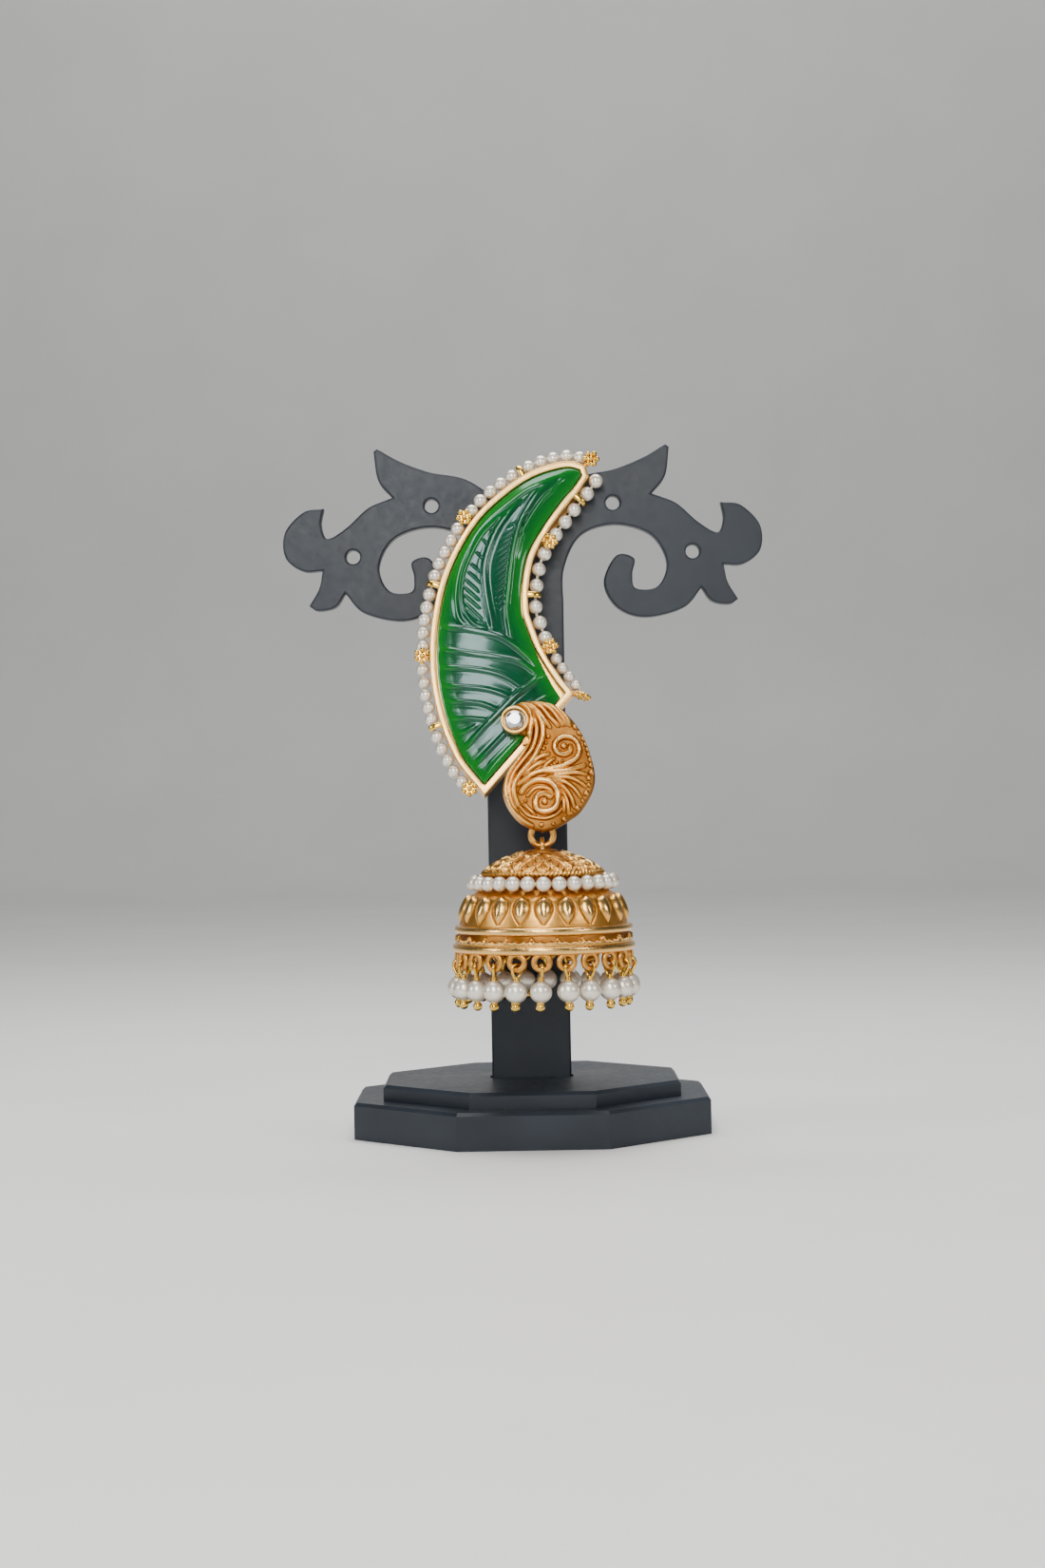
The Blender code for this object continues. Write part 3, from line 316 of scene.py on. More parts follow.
# Round grains on the paisley: place, radius
PAISLEY_GRAINS = (
    (0.669, 0.642, 0.42), (0.452, 0.222, 0.42), (0.796, 0.785, 0.36), (0.840, 0.740, 0.36),
    (0.882, 0.696, 0.36), (0.908, 0.654, 0.35), (0.926, 0.614, 0.35), (0.940, 0.576, 0.35),
    (0.951, 0.536, 0.35), (0.957, 0.494, 0.34), (0.962, 0.440, 0.38), (0.930, 0.395, 0.34),
    (0.930, 0.345, 0.30), (0.900, 0.282, 0.38), (0.860, 0.225, 0.26), (0.800, 0.172, 0.36),
    (0.735, 0.132, 0.26), (0.655, 0.090, 0.34), (0.540, 0.056, 0.26), (0.413, 0.050, 0.34),
    (0.504, 0.716, 0.30), (0.478, 0.668, 0.22), (0.453, 0.624, 0.27), (0.592, 0.520, 0.22),
    (0.650, 0.528, 0.20), (0.535, 0.500, 0.20), (0.247, 0.230, 0.22), (0.262, 0.268, 0.20),
)

# Bell's outer and inner side, as shares of its rim radius and height
BELL_OUTSIDE = (
    (0.004, -0.045), (0.030, -0.045), (0.060, -0.045), (0.085, -0.030), (0.095, -0.012),
    (0.150, -0.004), (0.165, 0.010), (0.185, 0.026), (0.300, 0.052), (0.440, 0.100), (0.560, 0.155),
    (0.640, 0.205), (0.662, 0.222), (0.655, 0.236), (0.610, 0.255), (0.610, 0.345), (0.660, 0.370),
    (0.692, 0.386), (0.720, 0.402), (0.752, 0.420), (0.802, 0.450), (0.842, 0.488), (0.872, 0.540),
    (0.893, 0.592), (0.908, 0.650), (0.918, 0.710), (0.922, 0.732), (0.955, 0.737), (0.972, 0.752),
    (0.977, 0.778), (0.968, 0.804), (0.940, 0.814), (0.942, 0.826), (0.946, 0.850), (0.950, 0.905),
    (0.965, 0.915), (0.992, 0.926), (1.000, 0.946), (1.000, 0.970), (0.990, 0.990), (0.972, 1.000),
    (0.925, 1.000), (0.905, 0.985),
)
BELL_INSIDE = (
    (0.905, 0.985), (0.895, 0.900), (0.865, 0.740), (0.800, 0.600), (0.700, 0.500), (0.580, 0.430),
    (0.540, 0.330), (0.420, 0.240), (0.200, 0.200),
)
BELL_ROWS = 148

# Share of the bell's height down to which each density of rows holds
BELL_DENSITY = ((0.245, 1.3), (0.37, 0.35), (0.45, 0.8), (0.735, 1.3), (0.81, 1.1), (0.92, 2.4), (2.0, 1.2))
INSIDE_DENSITY = 0.12

# Raised petals of the bell: top and bottom as shares of its height, half width
PETAL_TOP = 0.448
PETAL_BOTTOM = 0.716
PETAL_HALF_WIDTH = 1.34
PETAL_WIDEST = 0.36
PETAL_RISE = 0.55
PETAL_GROOVE = 0.14

# Leaf scales on the cap: top and bottom as shares of the bell's height, count in each row
CAP_TOP = 0.030
CAP_BOTTOM = 0.206
CAP_SCALES = (8, 13, 18, 24)
ROPE_BOTTOM = 0.240
ROPE_TURNS = 44.0

# Lower band and the line of arches in it, as shares of the bell's height
BAND_TOP = 0.812
BAND_BOTTOM = 0.914
ARCH_LINE = 0.874
ARCH_RISE = 0.034
BAND_RISE = 0.32

# Polished bands and the hollow under the cap, and the tone of each zone; low tones are dark patina with
# painted shade
POLISHED = ((0.735, 0.808), (0.916, 0.99))
HOLLOW = (0.245, 0.37)
BODY_TONE = 0.56
RIDGE_TONE = 0.70
GROOVE_TONE = 4.0
CAP_TONE = 0.20
BAND_TONE = 0.16
RELIEF_TONE = 2.0
POLISHED_TONE = 0.90
# Painted shade: the hollow under the cap, where the bell pearls sit, and the inside of the bell
HOLLOW_SHADE_TONE = 0.22
INSIDE_SHADE_TONE = 0.18

# Range of a noise over which a colour or roughness changes
NOISE_LOW = 0.3
NOISE_HIGH = 0.7

# Pale gold of the bezel, and yellow gold of the thin wires and small balls
BRIGHT_GOLD = ("bright_gold", (220.0, 4.0), ((0.74, 0.43, 0.12), (0.88, 0.57, 0.21)), (0.24, 0.42),
    (420.0, 0.45, 0.00012))
WIRE_GOLD = ("wire_gold", (500.0, 3.0), ((0.72, 0.42, 0.05), (0.92, 0.60, 0.13)), (0.14, 0.30),
    (1400.0, 0.2, 0.00005))

# Undyed cotton thread, and pale paint of the floor
THREAD = ("thread", (3000.0, 3.0), ((0.55, 0.45, 0.30), (0.80, 0.72, 0.58)), 0.7,
    (4000.0, 2.0), 0.3, 0.00004)
PAINT = ("floor_paint", (18.0, 4.0), ((0.76, 0.755, 0.745), (0.80, 0.795, 0.785)), 0.55,
    (900.0, 3.0), 0.05, 0.0001)

# Area lights: name, place, target, size, power, colour
LIGHTS = (
    ("key", (-45.0, -365.0, 262.0), (0.0, 0.0, 75.0), (105.0, 185.0), 0.90, (1.0, 0.99, 0.97)),
    ("front", (-20.0, -475.0, 150.0), (0.0, 0.0, 60.0), (150.0, 110.0), 0.42, (1.0, 0.98, 0.95)),
    ("side", (300.0, -250.0, 190.0), (0.0, 0.0, 60.0), (90.0, 90.0), 0.4, (1.0, 0.93, 0.84)),
    ("left", (-330.0, -160.0, 150.0), (0.0, 0.0, 60.0), (90.0, 160.0), 0.45, (0.96, 0.98, 1.0)),
    ("top", (0.0, 80.0, 420.0), (0.0, 0.0, 40.0), (300.0, 300.0), 2.2, (1.0, 1.0, 1.0)),
    ("back", (0.0, 420.0, 900.0), (0.0, 1050.0, 260.0), (900.0, 400.0), 4.0, (1.0, 1.0, 1.0)),
)
WORLD_STRENGTH = 0.11
WORLD_COLOUR = (0.93, 0.96, 1.0)

# Floor and its curved back
FLOOR_FRONT = -1400.0
FLOOR_DEPTH = 900.0
FLOOR_BEND = 160.0
FLOOR_HALF_WIDTH = 1800.0
WALL_HEIGHT = 1600.0


def rng(step):
    """Random numbers of their own for each kind of piece."""
    return np.random.default_rng(SEED + step)


def clamp(values):
    return np.clip(values, 0.0, 1.0)


def hump(distance, width):
    """Smooth ridge, one high at distance zero."""
    return np.exp(-((distance / width) ** 2))


def angles(count):
    return np.linspace(0.0, 2 * math.pi, count, endpoint=False)


def unit_rows(vectors):
    return vectors / np.maximum(np.linalg.norm(vectors, axis=1), 1e-9)[:, None]


def at_level(points, level):
    """Flat points, all given the same third coordinate."""
    return np.concatenate([points, np.full((len(points), 1), level)], axis=1)


def between(values, low, high):
    return (values > low) & (values < high)


def linked(name, data):
    """New object in the scene."""
    thing = bpy.data.objects.new(name, data)
    bpy.context.scene.collection.objects.link(thing)
    return thing


def smooth(points, steps, corners=(), closed=False):
    """Smooth curve through the rows of points, sharp at the numbered corners."""
    points = np.asarray(points, dtype=float)
    count = len(points)
    spans = count if closed else count - 1
    t = (np.arange(steps) / steps)[:, None]
    parts = []
    for i in range(spans):
        start = points[i]
        end = points[(i + 1) % count]
        before = points[i - 1] if closed or i > 0 else start
        after = points[(i + 2) % count] if closed or i + 2 < count else end
        leave = end - start if i in corners else (end - before) / 2
        arrive = end - start if (i + 1) % count in corners else (after - start) / 2
        parts.append(
            start * (2 * t**3 - 3 * t**2 + 1)
            + leave * (t**3 - 2 * t**2 + t)
            + end * (3 * t**2 - 2 * t**3)
            + arrive * (t**3 - t**2)
        )
    if not closed:
        parts.append(points[-1:])
    return np.vstack(parts)


def lengths_of(path):
    steps = np.linalg.norm(np.diff(path, axis=0), axis=1)
    return np.concatenate([[0.0], np.cumsum(steps)])


def along(path, distances):
    """Points at the given distances along a polyline."""
    lengths = lengths_of(path)
    return np.stack([np.interp(distances, lengths, path[:, k]) for k in range(path.shape[1])], axis=-1)


def resample(path, count):
    return along(path, np.linspace(0.0, lengths_of(path)[-1], count))


def in_box(shares, box):
    """Places in millimetres, from shares of a box."""
    shares = np.asarray(shares, dtype=float)
    return shares[:, :2] * np.array(box[2:]) + np.array(box[:2])


def offset(outline, distance):
    """Closed outline moved outward, with its sharpest corners cut back."""
    following = np.roll(outline, -1, axis=0)
    area = np.sum(outline[:, 0] * following[:, 1] - following[:, 0] * outline[:, 1])
    turn = 1.0 if area > 0 else -1.0
    after = unit_rows(following - outline)
    total = np.roll(after, 1, axis=0) + after
    normal = unit_rows(np.stack([total[:, 1], -total[:, 0]], axis=1) * turn)
    straight = np.stack([after[:, 1], -after[:, 0]], axis=1) * turn
    miter = 1.0 / np.maximum(np.sum(normal * straight, axis=1), MITER_LIMIT)
    return outline + normal * (distance * miter)[:, None]


def near_path(points, path):
    """Distance of each point from a polyline, and the share along it of the nearest place."""
    best = np.full(len(points), 1e9)
    share = np.zeros(len(points))
    lengths = lengths_of(path)
    for i in range(len(path) - 1):
        start = path[i]
        run = path[i + 1] - start
        size = max(float(run @ run), 1e-12)
        t = clamp((points - start) @ run / size)
        gap = np.linalg.norm(points - start - t[:, None] * run, axis=1)
        closer = gap < best
        best = np.where(closer, gap, best)
        share = np.where(closer, (lengths[i] + t * (lengths[i + 1] - lengths[i])) / lengths[-1], share)
    return best, share


def plaque_matrix():
    """Place of the earring's leaning plane in the frame of the model."""
    turn = Matrix.Rotation(math.pi / 2 - LEAN, 4, "X")
    return np.array(Matrix.Translation((0, -STAND_OFF, POST_HEIGHT)) @ turn)


def from_plaque(points):
    matrix = plaque_matrix()
    return points @ matrix[:3, :3].T + matrix[:3, 3]


class Shape:
    """Collects quads and triangles of one piece, in millimetres."""

    def __init__(self):
        self.verts = []
        self.faces = []
        self.slots = []
        self.relief = []
        self.count = 0

    def add(self, verts, faces, slot=0, relief=None):
        verts = np.asarray(verts, dtype=float).reshape(-1, 3)
        self.verts.append(verts)
        self.relief.append(np.full(len(verts), 0.5) if relief is None else np.asarray(relief).ravel())
        for face in faces:
            face = np.asarray(face)
            self.faces.append(face + self.count)
            self.slots.append(np.full(len(face), slot))
        self.count += len(verts)

    def grid(self, points, wrap_rows=False, wrap_columns=False, slot=0, relief=None, caps=False):
        """Quads over an array of rows x columns x 3 points."""
        rows, columns = points.shape[:2]
        index = np.arange(rows * columns).reshape(rows, columns)
        low = index if wrap_rows else index[:-1]
        high = np.roll(index, -1, axis=0) if wrap_rows else index[1:]
        if wrap_columns:
            left_low, right_low = low, np.roll(low, -1, axis=1)
            left_high, right_high = high, np.roll(high, -1, axis=1)
        else:
            left_low, right_low = low[:, :-1], low[:, 1:]
            left_high, right_high = high[:, :-1], high[:, 1:]
        quads = np.stack([left_low, right_low, right_high, left_high], axis=-1).reshape(-1, 4)
        faces = [quads]
        verts = points.reshape(-1, 3)
        if caps:
            ends = np.stack([points[0].mean(axis=0), points[-1].mean(axis=0)])
            first, last = index[0], index[-1]
            centre = rows * columns
            faces.append(np.stack([np.roll(first, -1), first, np.full(columns, centre)], axis=-1))
            faces.append(np.stack([last, np.roll(last, -1), np.full(columns, centre + 1)], axis=-1))
            verts = np.vstack([verts, ends])
            if relief is not None:
                relief = np.concatenate([np.asarray(relief).ravel(), [0.5, 0.5]])
        self.add(verts, faces, slot, relief)

    def ball(self, centre, radius, columns, rows, relief=None):
        """Ball with its poles above and below."""
        polar = np.linspace(0.0, math.pi, rows + 1)[:, None]
        turn = angles(columns)[None, :]
        height = np.cos(polar) * np.ones_like(turn)
        unit = np.stack([np.sin(polar) * np.cos(turn), np.sin(polar) * np.sin(turn), height], axis=-1)
        body = unit[1:-1] * radius + centre
        index = np.arange((rows - 1) * columns).reshape(rows - 1, columns)
        turned = np.roll(index, -1, axis=1)
        quads = np.stack([index[:-1], index[1:], turned[1:], turned[:-1]], axis=-1).reshape(-1, 4)
        top = np.full(columns, index.size)
        poles = np.array([[0.0, 0.0, radius], [0.0, 0.0, -radius]]) + centre
        cap_top = np.stack([top, index[0], turned[0]], axis=-1)
        cap_bottom = np.stack([top + 1, turned[-1], index[-1]], axis=-1)
        verts = np.vstack([body.reshape(-1, 3), poles])
        shade = None if relief is None else np.full(len(verts), relief)
        self.add(verts, [quads, cap_top, cap_bottom], relief=shade)

    def tube(self, path, radius, sides=10, closed=False, slot=0, relief=None, flat=1.0, normal=None):
        """Round or flattened wire along a path; radius may vary along it."""
        path = np.asarray(path, dtype=float)
        radius = np.broadcast_to(np.asarray(radius, dtype=float), (len(path),))
        if closed:
            tangent = np.roll(path, -1, axis=0) - np.roll(path, 1, axis=0)
        else:
            tangent = np.gradient(path, axis=0)
        tangent = unit_rows(tangent)
        if normal is None:
            spread = path.max(axis=0) - path.min(axis=0)
            normal = np.eye(3)[int(np.argmin(spread))]
        side = unit_rows(np.cross(tangent, normal))
        up = np.cross(side, tangent)
        angle = angles(sides)[None, :, None]
        ring = side[:, None, :] * np.cos(angle) + up[:, None, :] * (flat * np.sin(angle))
        points = path[:, None, :] + ring * radius[:, None, None]
        shade = None if relief is None else np.full(points.shape[:2], relief)
        self.grid(points, wrap_rows=closed, wrap_columns=True, slot=slot, relief=shade, caps=not closed)

    def torus(self, centre, axis_a, axis_b, radius, wire, sides, wire_sides, relief=None):
        """Round ring in the plane of two axes."""
        angle = angles(sides)[:, None]
        axis_a = np.asarray(axis_a, dtype=float)
        axis_b = np.asarray(axis_b, dtype=float)
        path = np.asarray(centre) + radius * (np.cos(angle) * axis_a + np.sin(angle) * axis_b)
        self.tube(path, wire, wire_sides, True, relief=relief, normal=np.cross(axis_a, axis_b))

    def turned(self, profile, centre, sides, slot=0, relief=None):
        """Body turned about the vertical through centre, from (radius, height) rows."""
        profile = np.asarray(profile, dtype=float)
        angle = angles(sides)
        x = profile[:, 0][:, None] * np.cos(angle)
        y = profile[:, 0][:, None] * np.sin(angle)
        z = np.broadcast_to(profile[:, 1][:, None], x.shape)
        shade = None if relief is None else np.full(x.shape, relief)
        points = np.stack([x, y, z], axis=-1) + np.asarray(centre)
        self.grid(points, wrap_columns=True, slot=slot, relief=shade, caps=True)

    def piece(self, name, materials, body, replaces=(), leaning=False, smooth_angle=50.0):
        """Turns the collected faces into a piece riding on a body."""
        verts = np.vstack(self.verts)
        if leaning:
            verts = from_plaque(verts)
        mesh = bpy.data.meshes.new(name)
        faces = [face.tolist() for group in self.faces for face in group]
        mesh.from_pydata((verts * MM).tolist(), [], faces)
        for finish in materials:
            mesh.materials.append(finish)
        mesh.polygons.foreach_set("material_index", np.concatenate(self.slots).astype(int))
        shade = mesh.attributes.new("relief", "FLOAT", "POINT")
        shade.data.foreach_set("value", np.concatenate(self.relief).astype(np.float32))
        mesh.validate()
        mesh.shade_smooth()
        mesh.set_sharp_from_angle(angle=math.radians(smooth_angle))
        thing = linked(name, mesh)
        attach(thing, body)
        if replaces:
            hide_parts(*replaces)


class Look:
    """Small helper for building a node material."""

    def __init__(self, name):
        self.material = bpy.data.materials.new(name)
        self.material.use_nodes = True
        self.tree = self.material.node_tree
        self.shader = self.tree.nodes["Principled BSDF"]
        self.place = self.tree.nodes.new("ShaderNodeTexCoord").outputs["Object"]

    def set(self, **values):
        for key, value in values.items():
            self.shader.inputs[key.replace("_", " ")].default_value = value

    def node(self, kind, **inputs):
        made = self.tree.nodes.new(kind)
        for key, value in inputs.items():
            self.feed(made.inputs[key.replace("_", " ")], value)
        return made

    def feed(self, socket, value):
        if isinstance(value, bpy.types.NodeSocket):
            self.tree.links.new(value, socket)
        else:
            socket.default_value = value

    def noise(self, scale, detail=3.0, roughness=0.55, distortion=0.0):
        values = {"Scale": scale, "Detail": detail, "Roughness": roughness, "Distortion": distortion}
        return self.node("ShaderNodeTexNoise", Vector=self.place, **values).outputs["Fac"]

    def cells(self, scale):
        return self.node("ShaderNodeTexVoronoi", Vector=self.place, Scale=scale).outputs["Distance"]

    def relief(self):
        """Shade that each shape carries from its hollows to its ridges."""
        made = self.tree.nodes.new("ShaderNodeAttribute")
        made.attribute_name = "relief"
        return made.outputs["Fac"]

    def ramp(self, source, stops):
        made = self.node("ShaderNodeValToRGB", Fac=source)
        ramp = made.color_ramp
        ramp.elements[0].position = stops[0][0]
        ramp.elements[0].color = (*stops[0][1], 1.0)
        ramp.elements[1].position = stops[-1][0]
        ramp.elements[1].color = (*stops[-1][1], 1.0)
        for position, colour in stops[1:-1]:
            ramp.elements.new(position).color = (*colour, 1.0)
        return made.outputs["Color"]

    def value_ramp(self, source, low, high, from_low=0.0, from_high=1.0):
        limits = {"From_Min": from_low, "From_Max": from_high, "To_Min": low, "To_Max": high}
        return self.node("ShaderNodeMapRange", Value=source, **limits).outputs["Result"]

    def patchy(self, source, first, second):
        """Colour that turns from first to second over the noise in source."""
        return self.ramp(source, ((NOISE_LOW, first), (NOISE_HIGH, second)))

    def spread(self, source, low, high):
        """Value that turns from low to high over the noise in source."""
        return self.value_ramp(source, low, high, NOISE_LOW, NOISE_HIGH)

    def mixed(self, share, first, second):
        made = self.tree.nodes.new("ShaderNodeMix")
        made.data_type = "RGBA"
        self.feed(made.inputs[0], share)
        self.feed(made.inputs[6], first)
        self.feed(made.inputs[7], second)
        return made.outputs[2]

    def maths(self, operation, first, second):
        made = self.tree.nodes.new("ShaderNodeMath")
        made.operation = operation
        self.feed(made.inputs[0], first)
        self.feed(made.inputs[1], second)
        return made.outputs[0]

    def bump(self, height, strength, distance):
        made = self.node("ShaderNodeBump", Height=height, Strength=strength, Distance=distance)
        self.tree.links.new(made.outputs["Normal"], self.shader.inputs["Normal"])

    def colour(self, value):
        self.feed(self.shader.inputs["Base Color"], value)

    def rough(self, value):
        self.feed(self.shader.inputs["Roughness"], value)


def rgba(red, green, blue):
    return (red, green, blue, 1.0)


def black_look():
    """Satin black plastic with a faint blue sheen, dust and fine scuffs."""
    look = Look("stand_black")
    dust = look.noise(900.0, 5.0, 0.7)
    blotch = look.noise(60.0, 3.0)
    look.colour(look.patchy(blotch, (0.009, 0.013, 0.019), (0.019, 0.026, 0.037)))
    look.rough(look.value_ramp(look.maths("ADD", dust, blotch), 0.30, 0.50, 0.7, 1.3))
    look.set(Specular_IOR_Level=0.35, Coat_Weight=0.05, Coat_Roughness=0.3)
    look.bump(look.noise(1500.0, 4.0, 0.7), 0.12, 0.00004)
    return look.material


def gold_look(name, patches, colours, roughness, dents):
    """Polished gold whose colour and roughness vary in patches, slightly dented."""
    look = Look(name)
    patch = look.noise(*patches)
    look.colour(look.patchy(patch, *colours))
    look.rough(look.spread(patch, *roughness))
    look.set(Metallic=1.0)
    look.bump(look.noise(dents[0], 3.0), *dents[1:])
    return look.material


def antique_gold_look():
    """Matte antique gold: dark patina and painted shade in the hollows, bright with wear on the ridges."""
    look = Look("antique_gold")
    grain = look.noise(1100.0, 5.0, 0.65)
    patch = look.noise(180.0, 3.0)
    height = look.relief()
    # Painted shade: low relief gives the darkest colours, shade in the hollows on top of the dark patina.
    patina_wear_and_shade = look.ramp(
        height,
        (
            (0.0, (0.09, 0.022, 0.003)),
            (0.30, (0.40, 0.145, 0.018)),
            (0.60, (0.80, 0.405, 0.080)),
            (1.0, (0.96, 0.63, 0.23)),
        ),
    )
    tinted = look.mixed(look.value_ramp(patch, 0.0, 0.35, 0.35, 0.7), patina_wear_and_shade, rgba(0.78, 0.40, 0.10))
    look.colour(tinted)
    matte = look.value_ramp(height, 0.50, 0.20)
    look.rough(look.maths("ADD", matte, look.spread(grain, -0.05, 0.07)))
    look.set(Metallic=1.0)
    look.bump(look.maths("ADD", grain, look.maths("MULTIPLY", look.noise(420.0, 3.0), 1.5)), 0.40, 0.00008)
    return look.material


def pearl_look():
    """Warm off-white pearl with lustre, faint rings and painted dark brown shade at its rim."""
    look = Look("pearl")
    cloud = look.noise(260.0, 3.0)
    body = look.patchy(cloud, (0.90, 0.83, 0.70), (0.96, 0.92, 0.82))
    # Painted shade: the colour turns dark brown where the surface faces away, at the pearl's rim.
    edge = look.tree.nodes.new("ShaderNodeLayerWeight")
    edge.inputs["Blend"].default_value = 0.28
    look.colour(look.mixed(edge.outputs["Facing"], body, rgba(0.36, 0.26, 0.15)))
    look.rough(look.spread(look.noise(700.0, 3.0), 0.26, 0.38))
    look.set(
        Metallic=0.5,
        Subsurface_Weight=0.12,
        Subsurface_Radius=(0.9, 0.7, 0.5),
        Subsurface_Scale=0.0005,
        Coat_Weight=0.5,
        Coat_Roughness=0.10,
        Specular_IOR_Level=0.5,
    )
    look.bump(look.noise(900.0, 2.0), 0.08, 0.00005)
    return look.material


def stone_look():
    """Polished carved green stone, painted lighter and more saturated green toward its thin edges as light
    shining through them.
    """
    look = Look("green_stone")
    depth = look.relief()
    cloud = look.noise(140.0, 4.0, 0.6, 0.4)
    # Painted light: low relief near the edges gives bright green light shining through, higher relief the
    # darker inner tone.
    body = look.ramp(
        depth,
        (
            (0.0, (0.007, 0.185, 0.012)),
            (0.30, (0.004, 0.115, 0.016)),
            (0.60, (0.002, 0.055, 0.020)),
            (1.0, (0.004, 0.085, 0.036)),
        ),
    )
    look.colour(look.mixed(look.value_ramp(cloud, 0.0, 0.45, 0.45, 0.75), body, rgba(0.005, 0.12, 0.016)))
    look.rough(look.spread(look.noise(800.0, 3.0), 0.10, 0.20))
    look.set(
        Subsurface_Weight=0.35,
        Subsurface_Radius=(0.15, 1.0, 0.3),
        Subsurface_Scale=0.0012,
        Coat_Weight=0.2,
        Coat_Roughness=0.05,
        Specular_IOR_Level=0.42,
        Specular_Tint=rgba(0.70, 0.93, 1.0),
        Coat_Tint=rgba(0.80, 0.95, 1.0),
        IOR=1.5,
    )
    look.bump(look.noise(350.0, 3.0), 0.10, 0.00008)
    return look.material


def clear_stone_look():
    """Clear cut stone over silvery foil."""
    look = Look("clear_stone")
    cloud = look.noise(700.0, 2.0)
    look.colour(look.patchy(cloud, (0.36, 0.36, 0.37), (0.58, 0.58, 0.60)))
    look.rough(look.spread(cloud, 0.05, 0.16))
    look.set(Metallic=0.85, Coat_Weight=0.6, Coat_Roughness=0.02, IOR=1.6)
    look.bump(look.cells(1300.0), 0.10, 0.00006)
    return look.material


def matte_look(name, patches, colours, roughness, grain, strength, distance):
    """Matte surface of a slightly uneven colour."""
    look = Look(name)
    look.colour(look.patchy(look.noise(*patches), *colours))
    look.set(Roughness=roughness)
    look.bump(look.noise(*grain), strength, distance)
    return look.material


def crescent_sides(count=SIDE_POINTS):
    """Outer and inner edge of the stone, from the top down."""
    outer = resample(smooth(in_box(STONE_OUTER, CRESCENT), 12), count)
    inner = resample(smooth(in_box(STONE_INNER, CRESCENT), 12), count)
    return outer, inner


def crescent_outline(count=SIDE_POINTS):
    outer, inner = crescent_sides(count)
    return np.vstack([outer, inner[::-1]])


def with_sides(surface, left, right, level):
    """Rows of a face, each with its two ends brought down to the level."""
    return np.concatenate([at_level(left, level)[:, None], surface, at_level(right, level)[:, None]], axis=1)


def stone_piece(look):
    """Carved crescent: domed face with ribs, a leaf with cut barbs, and polished edges."""
    outer, inner = crescent_sides(STONE_ROWS)
    along_stone = np.linspace(0.0, 1.0, STONE_ROWS)[:, None]
    narrowed = WEDGE_GAP * clamp((along_stone - WEDGE_START) / (1 - WEDGE_START))
    inner = inner + unit_rows(outer - inner) * narrowed
    share = np.linspace(0.0, 1.0, STONE_COLUMNS)
    share = 0.5 - 0.5 * np.cos(share * math.pi * 0.999)
    flat = outer[:, None, :] * (1 - share)[None, :, None] + inner[:, None, :] * share[None, :, None]
    width = np.linalg.norm(outer - inner, axis=1)[:, None]
    from_edge = np.minimum(share, 1 - share)[None, :] * width
    ends = np.minimum(np.arange(STONE_ROWS), STONE_ROWS - 1 - np.arange(STONE_ROWS))[:, None] * END_STEP
    from_edge = np.minimum(from_edge, ends + END_EDGE)
    dome = 1.0 - (2.0 * share[None, :] - 1.0) ** 2
    rise = STONE_ROLL * (1.0 - np.exp(-from_edge / ROLL_WIDTH)) + STONE_DOME * dome
    crown = (STONE_CROWN - STONE_EDGE) * np.minimum(1.0, width / FULL_WIDTH)
    height = STONE_EDGE + crown * rise
    points = flat.reshape(-1, 2)
    carving = np.zeros(len(points))
    nearest = np.full(len(points), 9.0)
    for rib_height, half, shares in STONE_RIBS:
        gap, place = near_path(points, smooth(in_box(shares, CRESCENT), 8))
        nearest = np.minimum(nearest, gap)
        taper = clamp(np.minimum(place, 1 - place) * 7.0) ** 0.6
        carving += taper * rib_height * hump(gap, half)
        groove = hump(gap - half * GROOVE_PLACE, half * GROOVE_WIDTH)
        carving -= taper * rib_height * GROOVE_DEPTH * groove
    for ends_of_cut in STONE_CUTS:
        gap, place = near_path(points, in_box(ends_of_cut, CRESCENT))
        taper = clamp(np.minimum(place, 1 - place) * 5.0)
        carving -= taper * CUT_DEPTH * hump(gap, CUT_WIDTH)
    carving -= SCOOP_DEPTH * (1.0 - hump(nearest, SCOOP_WIDTH))
    fade = clamp((from_edge - 0.25) / 2.2).reshape(-1) ** 0.8
    top = np.minimum(height.reshape(-1) + carving * fade, STONE_TOP).reshape(height.shape)
    # Painted light: tone lowest, so brightest green, at the thin edges where light shines through, shifted
    # by the carving.
    shade = np.clip((from_edge - 0.4) / 5.0, 0.0, 0.75) - carving.reshape(height.shape) * 0.7
    floor = LIP - DEPTH + FLOOR + GAP
    surface = np.concatenate([flat, top[:, :, None]], axis=-1)
    loop = with_sides(surface, outer, inner, floor)
    tone = np.concatenate([shade[:, :1], shade, shade[:, -1:]], axis=1)
    shape = Shape()
    shape.grid(loop, wrap_columns=True, relief=clamp(tone), caps=True)
    shape.piece("carved_leaf_stone", [look], "stand", ("carved_stone",), True, 80.0)


def border_paths():
    """Dense centre lines of the pearl borders, both starting at the top flower."""
    line = offset(crescent_outline(BORDER_POINTS), GAP + WALL + GAP + PEARL)
    outer = line[:BORDER_POINTS]
    inner = line[BORDER_POINTS:][::-1]
    top = (outer[0] + inner[0]) / 2
    return np.vstack([top, outer]), np.vstack([top, inner])


def flat_rings(outline, rows):
    """One ring round the outline for each distance and level."""
    return np.stack([at_level(offset(outline, distance), w) for distance, w in rows])


